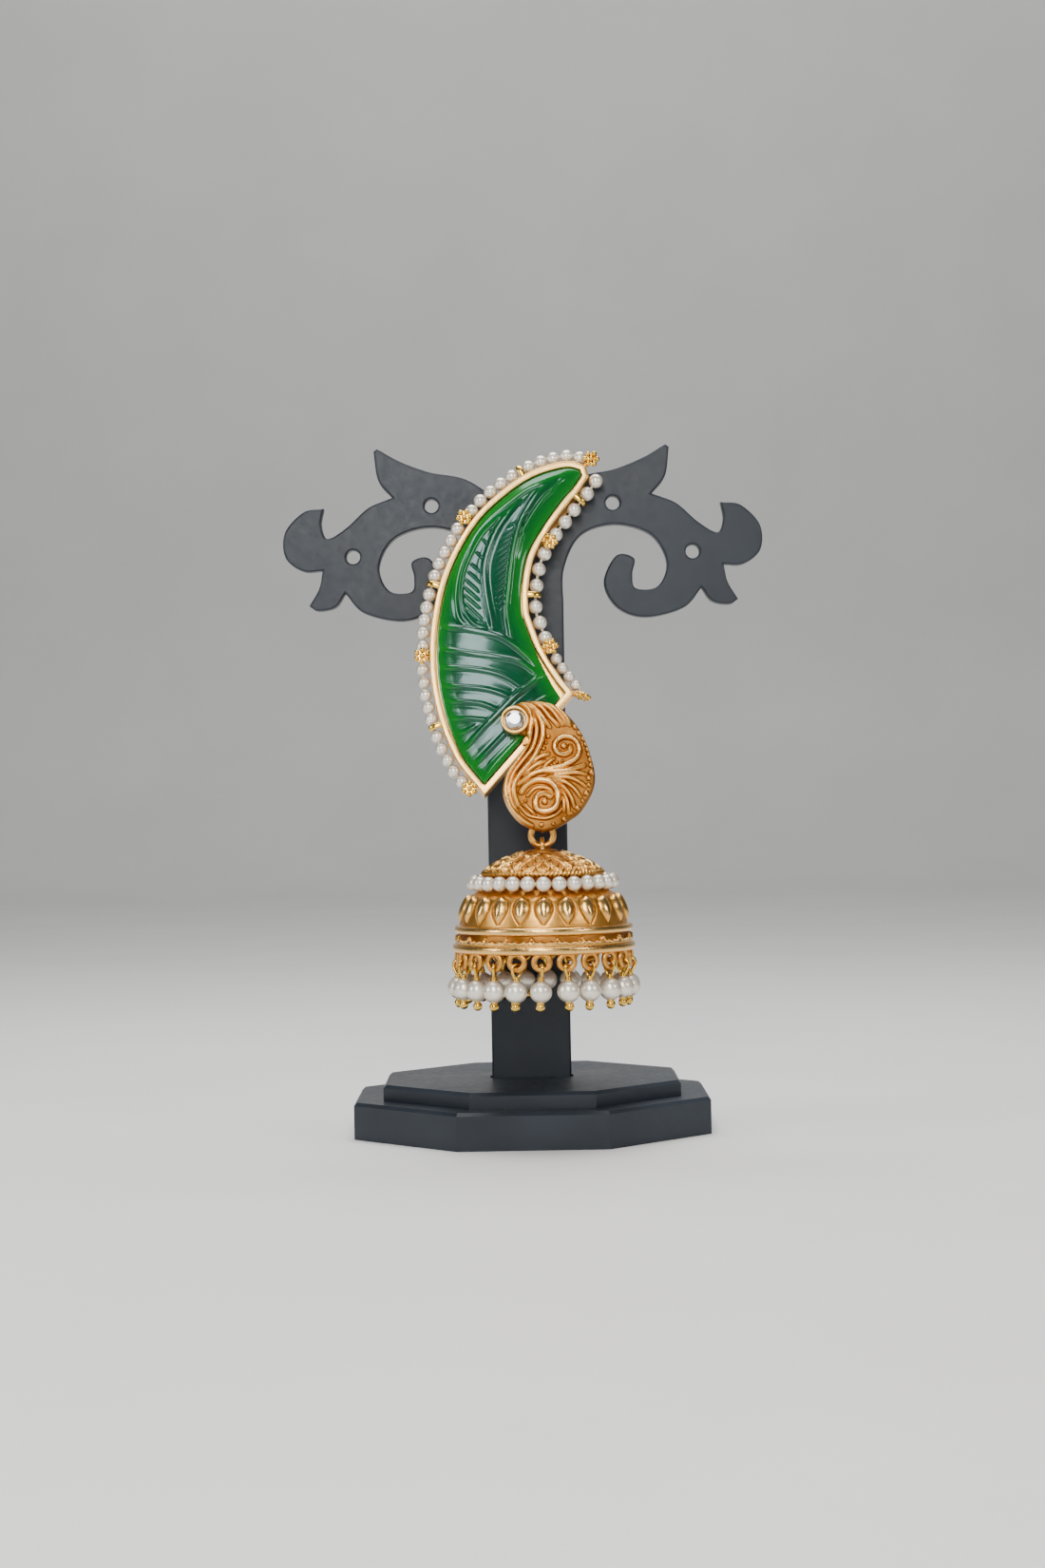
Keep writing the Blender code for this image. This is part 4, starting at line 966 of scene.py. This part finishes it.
def setting_piece(bright, antique, wire):
    """Bezel strip with a rounded bright lip, back plate and flowers."""
    outline = crescent_outline()
    back = LIP - DEPTH
    outside = GAP + WALL
    rows = (
        (outside, back),
        (outside, LIP - 0.20),
        (outside - 0.03, LIP - 0.08),
        (outside - 0.10, LIP - 0.02),
        (outside - 0.20, LIP),
        (GAP + 0.16, LIP),
        (GAP + 0.05, LIP - 0.04),
        (GAP, LIP - 0.12),
        (GAP, back + FLOOR),
    )
    shape = Shape()
    tone = np.full((len(rows), len(outline)), 0.8)
    shape.grid(flat_rings(outline, rows), wrap_columns=True, relief=tone, caps=True)
    random = rng(1)
    for path, shares in zip(border_paths(), (OUTER_FLOWERS, INNER_FLOWERS)):
        total = lengths_of(path)[-1]
        for share in shares:
            spot = along(path, np.array([share * total]))[0]
            on_edge = share == INNER_FLOWERS[-1]
            axes = EDGE_AXES if on_edge else np.eye(3)
            add_flower(shape, spot, outline, random, axes, EDGE_LIFT if on_edge else GAP)
    looks = [bright, antique, wire]
    shape.piece("bezel_setting", looks, "stand", ("crescent_setting",), True, 40.0)


def add_flower(shape, spot, outline, random, axes, lift):
    """Six grains round a seventh, on a small disc with a tab to the bezel."""
    flower = Shape()
    disc = ((FLOWER_RADIUS * 0.72, 0.0), (FLOWER_RADIUS * 0.78, 0.14), (FLOWER_RADIUS * 0.70, 0.26))
    flower.turned(disc, (0.0, 0.0, 0.0), 20)
    turn = random.uniform(0.0, math.pi)
    for k in range(6):
        angle = turn + k * math.pi / 3
        reach = FLOWER_RADIUS - GRAIN
        size = GRAIN * random.uniform(0.94, 1.04)
        flower.ball((reach * math.cos(angle), reach * math.sin(angle), 0.42), size, 16, 10)
    flower.ball((0.0, 0.0, 0.50), GRAIN, 16, 10)
    shape.add(np.vstack(flower.verts) @ np.array(axes) + [*spot, lift], flower.faces, 2)
    wall = offset(outline, GAP + WALL / 2)
    near = wall[np.argmin(np.linalg.norm(wall - spot, axis=1))]
    middle = (spot + near) / 2
    path = np.array([[*spot, lift + 0.1], [*middle, lift + 0.14], [*near, min(lift, 0.0) + 0.1]])
    shape.tube(path, 0.42, 10, slot=1, relief=0.4, flat=0.4, normal=UPWARD)


def bead_places(start, end, before, after):
    """Bead centres between two flowers, in two groups with a tie between them."""
    edge = FLOWER_RADIUS + PEARL * FLOWER_OVERLAP
    space = TIE_SPACE if after else 0.0
    count = before + after
    pitch = (end - start - 2 * edge - space) / (count - 1)
    places = [start + edge + k * pitch + (space if k >= before else 0.0) for k in range(count)]
    tie = (places[before - 1] + places[before]) / 2 if after else None
    return places, tie, pitch


def string_piece(name, path, stops, groups, looks, node):
    """One pearl border: round pearls on a thread, tied to the bezel with gold wire."""
    random = rng(len(groups) + int(stops[-1]))
    level = -PEARL
    shape = Shape()
    thread = along(path, np.linspace(stops[0] + THREAD_START, stops[-1], THREAD_POINTS))
    shape.tube(at_level(thread, level), THREAD_RADIUS, 8, slot=1, normal=UPWARD)
    for start, end, (before, after) in zip(stops, stops[1:], groups):
        places, tie, pitch = bead_places(start, end, before, after)
        for centre in along(path, np.array(places)):
            size = min(PEARL * PEARL_SWELL, pitch * PEARL_FILL) * random.uniform(0.965, 1.0)
            shift = random.uniform(-PEARL_SHIFT, PEARL_SHIFT, 2)
            shape.ball((centre[0] + shift[0], centre[1] + shift[1], level), size, 28, 18)
        if tie is not None:
            add_tie(shape, path, tie, level)
    shape.piece(name, looks, "stand", (node,), True, 60.0)


def add_tie(shape, path, distance, level):
    """Flat gold wire from the bezel's wall over the thread and round it."""
    before, here, after = along(path, np.array([distance - 0.3, distance, distance + 0.3]))
    tangent = (after - before) / np.linalg.norm(after - before)
    outward = np.array([tangent[1], -tangent[0]])
    inside = crescent_outline(BORDER_POINTS)
    ahead = np.min(np.linalg.norm(inside - (here + outward), axis=1))
    if ahead < np.min(np.linalg.norm(inside - here, axis=1)):
        outward = -outward
    reach = PEARL * 0.62
    wall = GAP + PEARL + 0.1
    steps = ((-wall, LIP - 0.30), (-PEARL * 0.7, 0.10), (0.0, 0.05), (reach, -0.30), (reach * 1.2, level))
    points = smooth([[*(here + outward * side), w] for side, w in steps], 5)
    normal = np.cross([*outward, 0.0], [*tangent, 0.0])
    shape.tube(points, np.linspace(0.50, 0.40, len(points)), 10, slot=2, flat=0.4, normal=normal)


def paisley_height(points):
    """Height of the scrollwork over the paisley's face."""
    high = np.zeros(len(points))
    for height, half, shares in PAISLEY_RIBS:
        gap, place = near_path(points, smooth(in_box(shares, PAISLEY), 6))
        taper = 0.45 + 0.55 * clamp(np.minimum(place, 1 - place) * 5.0)
        round_top = clamp(1 - (gap / (half * RIB_SPREAD)) ** 2) ** RIB_ROUNDING
        high = np.maximum(high, RIB_RISE * height * taper * round_top)
    for across, up, radius in PAISLEY_GRAINS:
        gap = np.linalg.norm(points - in_box(((across, up),), PAISLEY)[0], axis=1)
        wide = radius * GRAIN_SPREAD
        high = np.maximum(high, GRAIN_RISE * np.sqrt(np.clip(wide**2 - gap**2, 0.0, None)))
    return high


def paisley_piece(look, bright):
    """Cast gold paisley with scrollwork, cup and the hidden eye behind its foot."""
    left = resample(smooth(in_box(PAISLEY_LEFT, PAISLEY), 14), PAISLEY_ROWS)
    right = resample(smooth(in_box(PAISLEY_RIGHT, PAISLEY), 14), PAISLEY_ROWS)
    share = np.linspace(0.0, 1.0, PAISLEY_COLUMNS)
    flat = left[:, None, :] * (1 - share)[None, :, None] + right[:, None, :] * share[None, :, None]
    outline = np.vstack([left, right[::-1]])
    points = flat.reshape(-1, 2)
    edge = near_path(points, np.vstack([outline[::6], outline[:1]]))[0]
    dome = clamp(edge / 4.2) ** 0.75
    roll = np.sqrt(clamp(1 - (np.clip(0.5 - edge, 0.0, 0.5) / 0.5) ** 2))
    relief = paisley_height(points)
    inside = clamp(edge / 0.20)
    top = PAISLEY_BACK + 0.25 + (PAISLEY_FACE - PAISLEY_BACK - 0.55) * roll + 0.28 * dome + relief * inside
    top = np.minimum(top, PAISLEY_TOP)
    # Tone for the antique gold: dark patina and painted shade on the low ground, bright with wear on the
    # raised work, and painted shade darkening the rolled edges.
    tone = clamp(0.04 + relief * 0.98 + 0.14 * dome).reshape(flat.shape[:2])
    surface = np.concatenate([flat, top.reshape(flat.shape[:2])[:, :, None]], axis=-1)
    loop = with_sides(surface, left, right, PAISLEY_BACK)
    plain_tone = np.full((PAISLEY_ROWS, 1), 0.35)
    shades = np.concatenate([plain_tone, tone, plain_tone], axis=1)
    shape = Shape()
    shape.grid(loop, wrap_columns=True, relief=shades, caps=True)
    spot = in_box((CUP_PLACE,), PAISLEY)[0]
    floor = PAISLEY_FACE + 0.15
    profile = (
        (CUP_RADIUS - 0.1, PAISLEY_BACK),
        (CUP_RADIUS, PAISLEY_FACE),
        (CUP_RADIUS, CUP_RIM - 0.16),
        (CUP_RADIUS - 0.07, CUP_RIM - 0.03),
        (CUP_RADIUS - 0.18, CUP_RIM),
        (CUP_INSIDE + 0.05, CUP_RIM - 0.04),
        (CUP_INSIDE, CUP_RIM - 0.12),
        (CUP_INSIDE, floor),
    )
    shape.turned(profile, (spot[0], spot[1], 0.0), 64, 1, 0.75)
    add_solder_foot(shape)
    shape.piece("scroll_paisley", [look, bright], "stand", ("paisley_plaque",), True, 60.0)
    eye = Shape()
    top_wire = np.array(RING_PLACE) + (0.0, 0.0, RING_RADIUS)
    eye.torus(top_wire, (0, 1, 0), (0, 0, 1), EYE_RADIUS, EYE_WIRE, 32, 12, relief=0.5)
    eye.piece("paisley_eye", [look], "stand")


def add_solder_foot(shape):
    """Oval foot that joins the paisley's back to the end of the bezel."""
    outer, inner = crescent_sides()
    run = (outer[-1] - inner[-1]) / np.linalg.norm(outer[-1] - inner[-1])
    outward = np.array([-run[1], run[0]])
    middle = (outer[-1] + inner[-1]) / 2 + outward * (GAP + WALL / 2)
    levels = (LIP - 0.05, (LIP + PAISLEY_BACK) / 2, PAISLEY_BACK + 0.3)
    path = np.array([[*middle, level] for level in levels])
    shape.tube(path, (1.15, 1.0, 1.15), 20, relief=0.35, flat=0.4, normal=np.array([*outward, 0.0]))


def gem_piece(look):
    """Faceted stone: girdle, star and main crown facets, table."""
    spot = in_box((CUP_PLACE,), PAISLEY)[0]
    radius = CUP_INSIDE - 0.12
    base = CUP_RIM - 0.12
    rings = []
    for share, rise, turn in GEM_ROWS:
        angle = (np.arange(GEM_SIDES) + turn) * 2 * math.pi / GEM_SIDES
        ring = spot + radius * share * np.stack([np.cos(angle), np.sin(angle)], axis=1)
        rings.append(at_level(ring, base + rise))
    shape = Shape()
    shape.grid(np.stack(rings), wrap_columns=True, caps=True)
    shape.piece("cut_round_stone", [look], "stand", ("round_stone",), True, 5.0)


def ring_piece(look):
    """Round ring that joins the paisley to the bell."""
    shape = Shape()
    shape.torus(RING_PLACE, (1, 0, 0), (0, 0, 1), RING_RADIUS, RING_WIRE, 64, 18, relief=0.55)
    shape.piece("round_jump_ring", [look], "ring", ("jump_ring",))


def petal_relief(angle, drop):
    """Convex teardrops, each inside a fine groove."""
    unit = 2 * math.pi / PETALS
    arc = ((angle + unit / 2) % unit - unit / 2) * BELL_RADIUS * 0.9
    t = (drop - PETAL_TOP) / (PETAL_BOTTOM - PETAL_TOP)
    inside = (t > 0) & (t < 1)
    t = clamp(t)
    round_top = clamp(1 - np.abs(1 - t / PETAL_WIDEST) ** 2.5) ** 0.45
    point = np.cos(clamp((t - PETAL_WIDEST) / (1 - PETAL_WIDEST)) * math.pi / 2)
    half = PETAL_HALF_WIDTH * np.where(t < PETAL_WIDEST, round_top, point)
    gap = half - np.abs(arc)
    cushion = np.sin(clamp((gap - 0.08) / 1.15) * math.pi / 2)
    groove = hump(gap + 0.02, 0.12)
    return (PETAL_RISE * cushion - PETAL_GROOVE * groove) * inside


def cap_relief(angle, drop):
    """Rows of overlapping leaf scales with a raised edge and midrib."""
    high = np.zeros(np.broadcast(angle, drop).shape)
    depth = (drop - CAP_TOP) / (CAP_BOTTOM - CAP_TOP) * len(CAP_SCALES)
    random = rng(9)
    for k, count in enumerate(CAP_SCALES):
        lean = random.uniform(-0.5, 0.5, count)
        swell = random.uniform(0.7, 1.25, count)
        local = depth - k
        inside = (local >= 0) & (local < 1)
        local = clamp(local)
        turn = angle * count / (2 * math.pi) + 0.5 * k
        cell = np.floor(turn).astype(int) % count
        across = (turn % 1.0 - 0.5) * 2
        bent = across - lean[cell] * (local - 0.5)
        edge = np.sqrt(clamp(1 - local**1.8)) - np.abs(across)
        rim = hump(edge - 0.14, 0.13)
        rib = hump(bent, 0.12) * (local < 0.85)
        veins = np.cos((np.abs(bent) * 1.6 + local) * 14.0) * (edge > 0.3)
        body = 0.12 * (edge > 0) + 0.24 * rim + 0.16 * rib + 0.05 * veins
        high = np.where(inside, body * swell[cell], high)
    return high


def band_relief(angle, drop):
    """Raised lower band whose upper edge runs in small arches, a dimple under each."""
    unit = 2 * math.pi / PETALS
    arc = (angle % unit - unit / 2) * BELL_RADIUS
    band = between(drop, BAND_TOP, BAND_BOTTOM)
    line = ARCH_LINE - ARCH_RISE * hump(arc, 0.50) - 0.007 * np.cos(arc * 2 * math.pi / 1.3)
    raised = 1.0 / (1.0 + np.exp(np.clip((line - drop) / 0.0022, -40.0, 40.0)))
    lip = hump(drop - line - 0.006, 0.006)
    dimple = np.exp(-((arc / 0.22) ** 2 + ((drop - 0.866) / 0.009) ** 2))
    return (BAND_RISE * raised + 0.14 * lip - BAND_RISE * dimple) * band


def bell_relief(angle, drop):
    """Raised work on the bell by angle and share of its height."""
    high = petal_relief(angle, drop)
    high = np.where(between(drop, CAP_TOP, CAP_BOTTOM), cap_relief(angle, drop), high)
    rope = (drop >= CAP_BOTTOM) & (drop < ROPE_BOTTOM)
    twist = np.abs(np.sin(angle * ROPE_TURNS + (drop - CAP_BOTTOM) * 90.0))
    high = np.where(rope, 0.05 + 0.22 * twist, high)
    return high + band_relief(angle, drop)


def bell_piece(look):
    """Bell shell turned from its profile, with petals, leaf scales and arches raised on it."""
    box = (0.0, 0.0, BELL_RADIUS, BELL_HEIGHT)
    outside = smooth(in_box(BELL_OUTSIDE, box), 8)
    dense = np.vstack([outside, smooth(in_box(BELL_INSIDE, box), 8)[1:]])
    limits = np.array([limit for limit, weight in BELL_DENSITY]) * BELL_HEIGHT
    weights = np.array([weight for limit, weight in BELL_DENSITY])
    weight = weights[np.searchsorted(limits, dense[1:, 1])]
    weight[len(outside) - 1 :] = INSIDE_DENSITY
    measure = np.concatenate([[0.0], np.cumsum(np.diff(lengths_of(dense)) * weight)])
    steps = np.linspace(0.0, measure[-1], BELL_ROWS)
    profile = np.stack([np.interp(steps, measure, dense[:, k]) for k in (0, 1)], axis=-1)
    angle = angles(BELL_COLUMNS)[None, :]
    radius = profile[:, 0][:, None]
    drop = profile[:, 1][:, None]
    worked = (steps < measure[len(outside) - 1])[:, None]
    relief = bell_relief(angle, drop / BELL_HEIGHT) * worked
    slope = unit_rows(np.gradient(profile, axis=0))
    reach = np.minimum(radius + relief * slope[:, 1][:, None], BELL_RADIUS)
    height = BELL_TOP - drop + relief * slope[:, 0][:, None]
    channel = np.sqrt(np.clip(WIRE_CHANNEL**2 - (reach * np.cos(angle)) ** 2, 0.0, None))
    under_wire = RING_PLACE[2] - RING_RADIUS - channel
    height = np.where(channel > 0, np.minimum(height, under_wire), height)
    centre = RING_PLACE[:2]
    x = centre[0] + reach * np.sin(angle)
    y = centre[1] - reach * np.cos(angle)
    points = np.stack([x, y, height], axis=-1)
    share = drop / BELL_HEIGHT
    # Tone for the antique gold: low in grooves, cap and band hollows for dark patina with painted shade,
    # painted shade in the hollow and inside, polished bands bright.
    tone = BODY_TONE + RIDGE_TONE * clamp(relief) + GROOVE_TONE * np.clip(relief, -1.0, 0.0)
    tone = np.where(share < HOLLOW[0], CAP_TONE + relief * RELIEF_TONE, tone)
    tone = np.where(between(share, BAND_TOP, BAND_BOTTOM), BAND_TONE + relief * RELIEF_TONE, tone)
    for band in POLISHED:
        tone = np.where(between(share, *band) & worked, POLISHED_TONE, tone)
    tone = np.where(between(share, *HOLLOW) & worked, HOLLOW_SHADE_TONE, tone)
    tone = np.where(worked, tone, INSIDE_SHADE_TONE)
    shape = Shape()
    shape.grid(points, wrap_columns=True, relief=clamp(tone), caps=True)
    shape.piece("petal_bell", [look], "bell", ("bell_dome",), False, 60.0)
    fittings = Shape()
    add_bell_fittings(fittings)
    fittings.piece("bell_loops", [look], "bell")


def drop_turns():
    """Angle of each drop round the bell."""
    return [DROP_TURN + 2 * math.pi * k / DROPS for k in range(DROPS)]


def around(turn, radius, height):
    """Place at an angle round the bell's axis."""
    x = RING_PLACE[0] + radius * math.sin(turn)
    y = RING_PLACE[1] - radius * math.cos(turn)
    return np.array([x, y, height])


def loop_height():
    """Height of the middle of the rim loops."""
    return BELL_TOP - BELL_HEIGHT - RIM_LOOP_RADIUS + RIM_LOOP_SEAT


def add_bell_fittings(shape):
    """Rim loops, and the bell's eye with its small ball."""
    for turn in drop_turns():
        side = (math.cos(turn), math.sin(turn), 0.0)
        centre = around(turn, DROP_CIRCLE, loop_height())
        shape.torus(centre, side, (0, 0, 1), RIM_LOOP_RADIUS, RIM_LOOP_WIRE, 28, 12, relief=0.5)
    bottom_wire = np.array(RING_PLACE) - (0.0, 0.0, RING_RADIUS)
    shape.torus(bottom_wire, (0, 1, 0), (0, 0, 1), EYE_RADIUS, EYE_WIRE, 32, 12, relief=0.6)
    shape.ball(bottom_wire - (0.0, EYE_RADIUS * 0.95, 0.45), 0.42, 16, 10, relief=0.95)


def bell_pearls_piece(pearl, gold):
    """Pearls threaded on a wire in the groove under the cap."""
    random = rng(3)
    height = BELL_TOP - BELL_PEARL_DROP * BELL_HEIGHT
    shape = Shape()
    for k in range(BELL_PEARLS):
        turn = 2 * math.pi * k / BELL_PEARLS
        size = BELL_PEARL * random.uniform(0.97, 1.0)
        shape.ball(around(turn, BELL_PEARL_CIRCLE, height + random.uniform(-0.05, 0.05)), size, 30, 20)
    wire = np.array([around(turn, BELL_PEARL_CIRCLE, height) for turn in angles(96)])
    shape.tube(wire, THREADING_WIRE, 8, True, 1, normal=UPWARD)
    shape.piece("bell_pearls", [pearl, gold], "bell", ("bell_pearl_ring",))


def drop_loop_height():
    """Height of the middle of the drops' loops."""
    bottom = loop_height() - RIM_LOOP_RADIUS
    return bottom + RIM_LOOP_WIRE + DROP_WIRE + GAP - DROP_LOOP_RADIUS


def drops_piece(pearl, gold):
    """Pearl drops: hairpin wire through each rim loop, wrap, pearl and end ball."""
    random = rng(4)
    nodes = [f"pearl_drop_{k:02d}" for k in range(1, DROPS + 1)]
    pearls = Shape()
    wires = Shape()
    for turn in drop_turns():
        swing = math.radians(random.uniform(*DROP_SWINGS))
        tilt = math.radians(random.uniform(*DROP_TILTS))
        out = np.array([math.sin(turn), -math.cos(turn), 0.0])
        side = np.array([math.cos(turn), math.sin(turn), 0.0])
        down = -UPWARD + side * math.tan(swing) + out * math.tan(tilt)
        down /= np.linalg.norm(down)
        top = around(turn, DROP_CIRCLE, drop_loop_height() + DROP_LOOP_RADIUS)
        twist = math.radians(random.uniform(*DROP_TWISTS))
        across = np.cross(down, side) * math.cos(twist) + side * math.sin(twist)
        low = DROP_LOOP_RADIUS * 2 + DROP_STEM
        half = ((0.14, low), (0.42, low * 0.80), (0.88, low * 0.42), (0.84, 0.30), (0.46, 0.05))
        hairpin = [*half, (0.0, 0.0), *((-a, b) for a, b in half[::-1])]
        path = [top + across * a + down * b for a, b in hairpin]
        wires.tube(smooth(path, 4), HAIRPIN_WIRE, 8, normal=np.cross(down, across))
        for k in range(WRAPS):
            ring_at = top + down * (low - 0.42 + k * WRAP_STEP)
            wires.torus(ring_at, side, np.cross(down, side), 0.30 + 0.05 * k, WRAP_WIRE, 18, 8)
        size = DROP_PEARL * random.uniform(0.975, 1.0)
        centre = top + down * (low + DROP_PEARL)
        pearls.ball(centre, size, 36, 24)
        end = centre + down * (DROP_PEARL + DROP_BALL * 0.82)
        wires.ball(end, DROP_BALL * random.uniform(0.92, 1.0), 20, 14)
        wires.torus(centre + down * (DROP_PEARL + 0.02), side, across, 0.42, 0.16, 20, 8)
    pearls.piece("drop_pearls", [pearl], "bell", nodes)
    wires.piece("drop_wires", [gold], "bell")


def stand_piece(look):
    """Cut plate with softened edges, scrolls and drilled holes."""
    points = in_box(ARM_OUTLINE, ARM)
    points[0, 0] = COLUMN_WIDTH / 2
    corners = {i for i, row in enumerate(ARM_OUTLINE) if row[2]}
    right = np.vstack([[COLUMN_WIDTH / 2, COLUMN_FOOT], smooth(points, 8, corners)])
    left = right[::-1] * (-1, 1)
    curve = bpy.data.curves.new("scroll_tree", "CURVE")
    curve.dimensions = "2D"
    curve.fill_mode = "BOTH"
    curve.extrude = (PLATE_THICKNESS / 2 - PLATE_BEVEL) * MM
    curve.bevel_depth = PLATE_BEVEL * MM
    curve.bevel_resolution = 2
    curve.offset = -PLATE_BEVEL * MM
    outlines = [np.vstack([right, left])]
    spots = [(0.0, POST_HEIGHT - STAND_OFF * math.tan(LEAN))]
    for x, z in in_box(ARM_HOLES, ARM):
        spots += [(-x, z), (x, z)]
    angle = angles(HOLE_POINTS)
    for x, z in spots:
        outlines.append(np.stack([x + HOLE_RADIUS * np.cos(angle), z + HOLE_RADIUS * np.sin(angle)], axis=1))
    for outline in outlines:
        spline = curve.splines.new("POLY")
        spline.points.add(len(outline) - 1)
        for point, spot in zip(spline.points, outline * MM):
            point.co = (spot[0], spot[1], 0.0, 1.0)
        spline.use_cyclic_u = True
    source = linked("scroll_tree_curve", curve)
    graph = bpy.context.evaluated_depsgraph_get()
    mesh = bpy.data.meshes.new_from_object(source.evaluated_get(graph))
    bpy.data.objects.remove(source)
    mesh.transform(Matrix.Rotation(math.pi / 2, 4, "X"))
    mesh.materials.clear()
    mesh.materials.append(look)
    mesh.shade_smooth()
    mesh.set_sharp_from_angle(angle=math.radians(50))
    thing = linked("scroll_tree", mesh)
    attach(thing, "stand")
    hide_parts("stand_tree")


def paint_nodes(frame, looks):
    """Materials of the CAD nodes that stay as they are."""
    for node, look in looks.items():
        thing = frame["nodes"][node]
        thing.data.materials.clear()
        thing.data.materials.append(look)


def studio():
    """Pale floor with a curved back, soft lights and a pale world."""
    profile = [(FLOOR_FRONT, 0.0), (FLOOR_DEPTH, 0.0)]
    for turn in np.linspace(0.1, math.pi / 2, 12):
        profile.append((FLOOR_DEPTH + FLOOR_BEND * math.sin(turn), FLOOR_BEND * (1 - math.cos(turn))))
    profile.append((FLOOR_DEPTH + FLOOR_BEND, WALL_HEIGHT))
    sides = (-FLOOR_HALF_WIDTH, FLOOR_HALF_WIDTH)
    verts = [(x * MM, y * MM, z * MM) for y, z in profile for x in sides]
    faces = [(2 * k, 2 * k + 1, 2 * k + 3, 2 * k + 2) for k in range(len(profile) - 1)]
    mesh = bpy.data.meshes.new("studio_floor")
    mesh.from_pydata(verts, [], faces)
    mesh.materials.append(matte_look(*PAINT))
    mesh.shade_smooth()
    floor = linked("studio_floor", mesh)
    world = bpy.data.worlds.new("studio_world")
    world.use_nodes = True
    background = world.node_tree.nodes["Background"]
    background.inputs["Color"].default_value = rgba(*WORLD_COLOUR)
    background.inputs["Strength"].default_value = WORLD_STRENGTH
    bpy.context.scene.world = world
    for light in LIGHTS:
        area(*light)


def area(name, place, target, size, power, colour):
    """Area light that faces its target."""
    light = bpy.data.lights.new(name, "AREA")
    light.shape = "RECTANGLE"
    light.size = size[0] * MM
    light.size_y = size[1] * MM
    light.energy = power
    light.color = colour
    thing = linked(name, light)
    thing.location = [value * MM for value in place]
    direction = Vector([value * MM for value in target]) - thing.location
    thing.rotation_euler = direction.to_track_quat("-Z", "Y").to_euler()


def camera():
    """Camera that takes the photograph's view."""
    made = bpy.data.cameras.new("photo_camera")
    made.lens = LENS
    made.sensor_width = SENSOR
    made.clip_start, made.clip_end = CLIP
    thing = linked("photo_camera", made)
    turn = Matrix.Rotation(math.pi / 2, 4, "X") @ Matrix.Rotation(CAMERA_ROLL, 4, "Z")
    thing.matrix_world = Matrix.Translation([value * MM for value in CAMERA_PLACE]) @ turn
    bpy.context.scene.camera = thing


def main():
    """Builds the pieces, their looks and the studio."""
    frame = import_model()
    camera()
    studio()
    black = black_look()
    bright = gold_look(*BRIGHT_GOLD)
    antique = antique_gold_look()
    wire = gold_look(*WIRE_GOLD)
    pearl = pearl_look()
    thread = matte_look(*THREAD)
    paint_nodes(frame, {"stand_base": black, "ear_post": bright})
    stand_piece(black)
    stone_piece(stone_look())
    setting_piece(bright, antique, wire)
    outer, inner = border_paths()
    looks = [pearl, thread, wire]
    outer_stops = [share * lengths_of(outer)[-1] for share in OUTER_FLOWERS]
    inner_stops = [0.0] + [share * lengths_of(inner)[-1] for share in INNER_FLOWERS]
    string_piece("outer_pearls", outer, outer_stops, OUTER_GROUPS, looks, "outer_pearl_string")
    string_piece("inner_pearls", inner, inner_stops, INNER_GROUPS, looks, "inner_pearl_string")
    paisley_piece(antique, bright)
    gem_piece(clear_stone_look())
    ring_piece(antique)
    bell_piece(antique)
    bell_pearls_piece(pearl, wire)
    drops_piece(pearl, wire)


main()
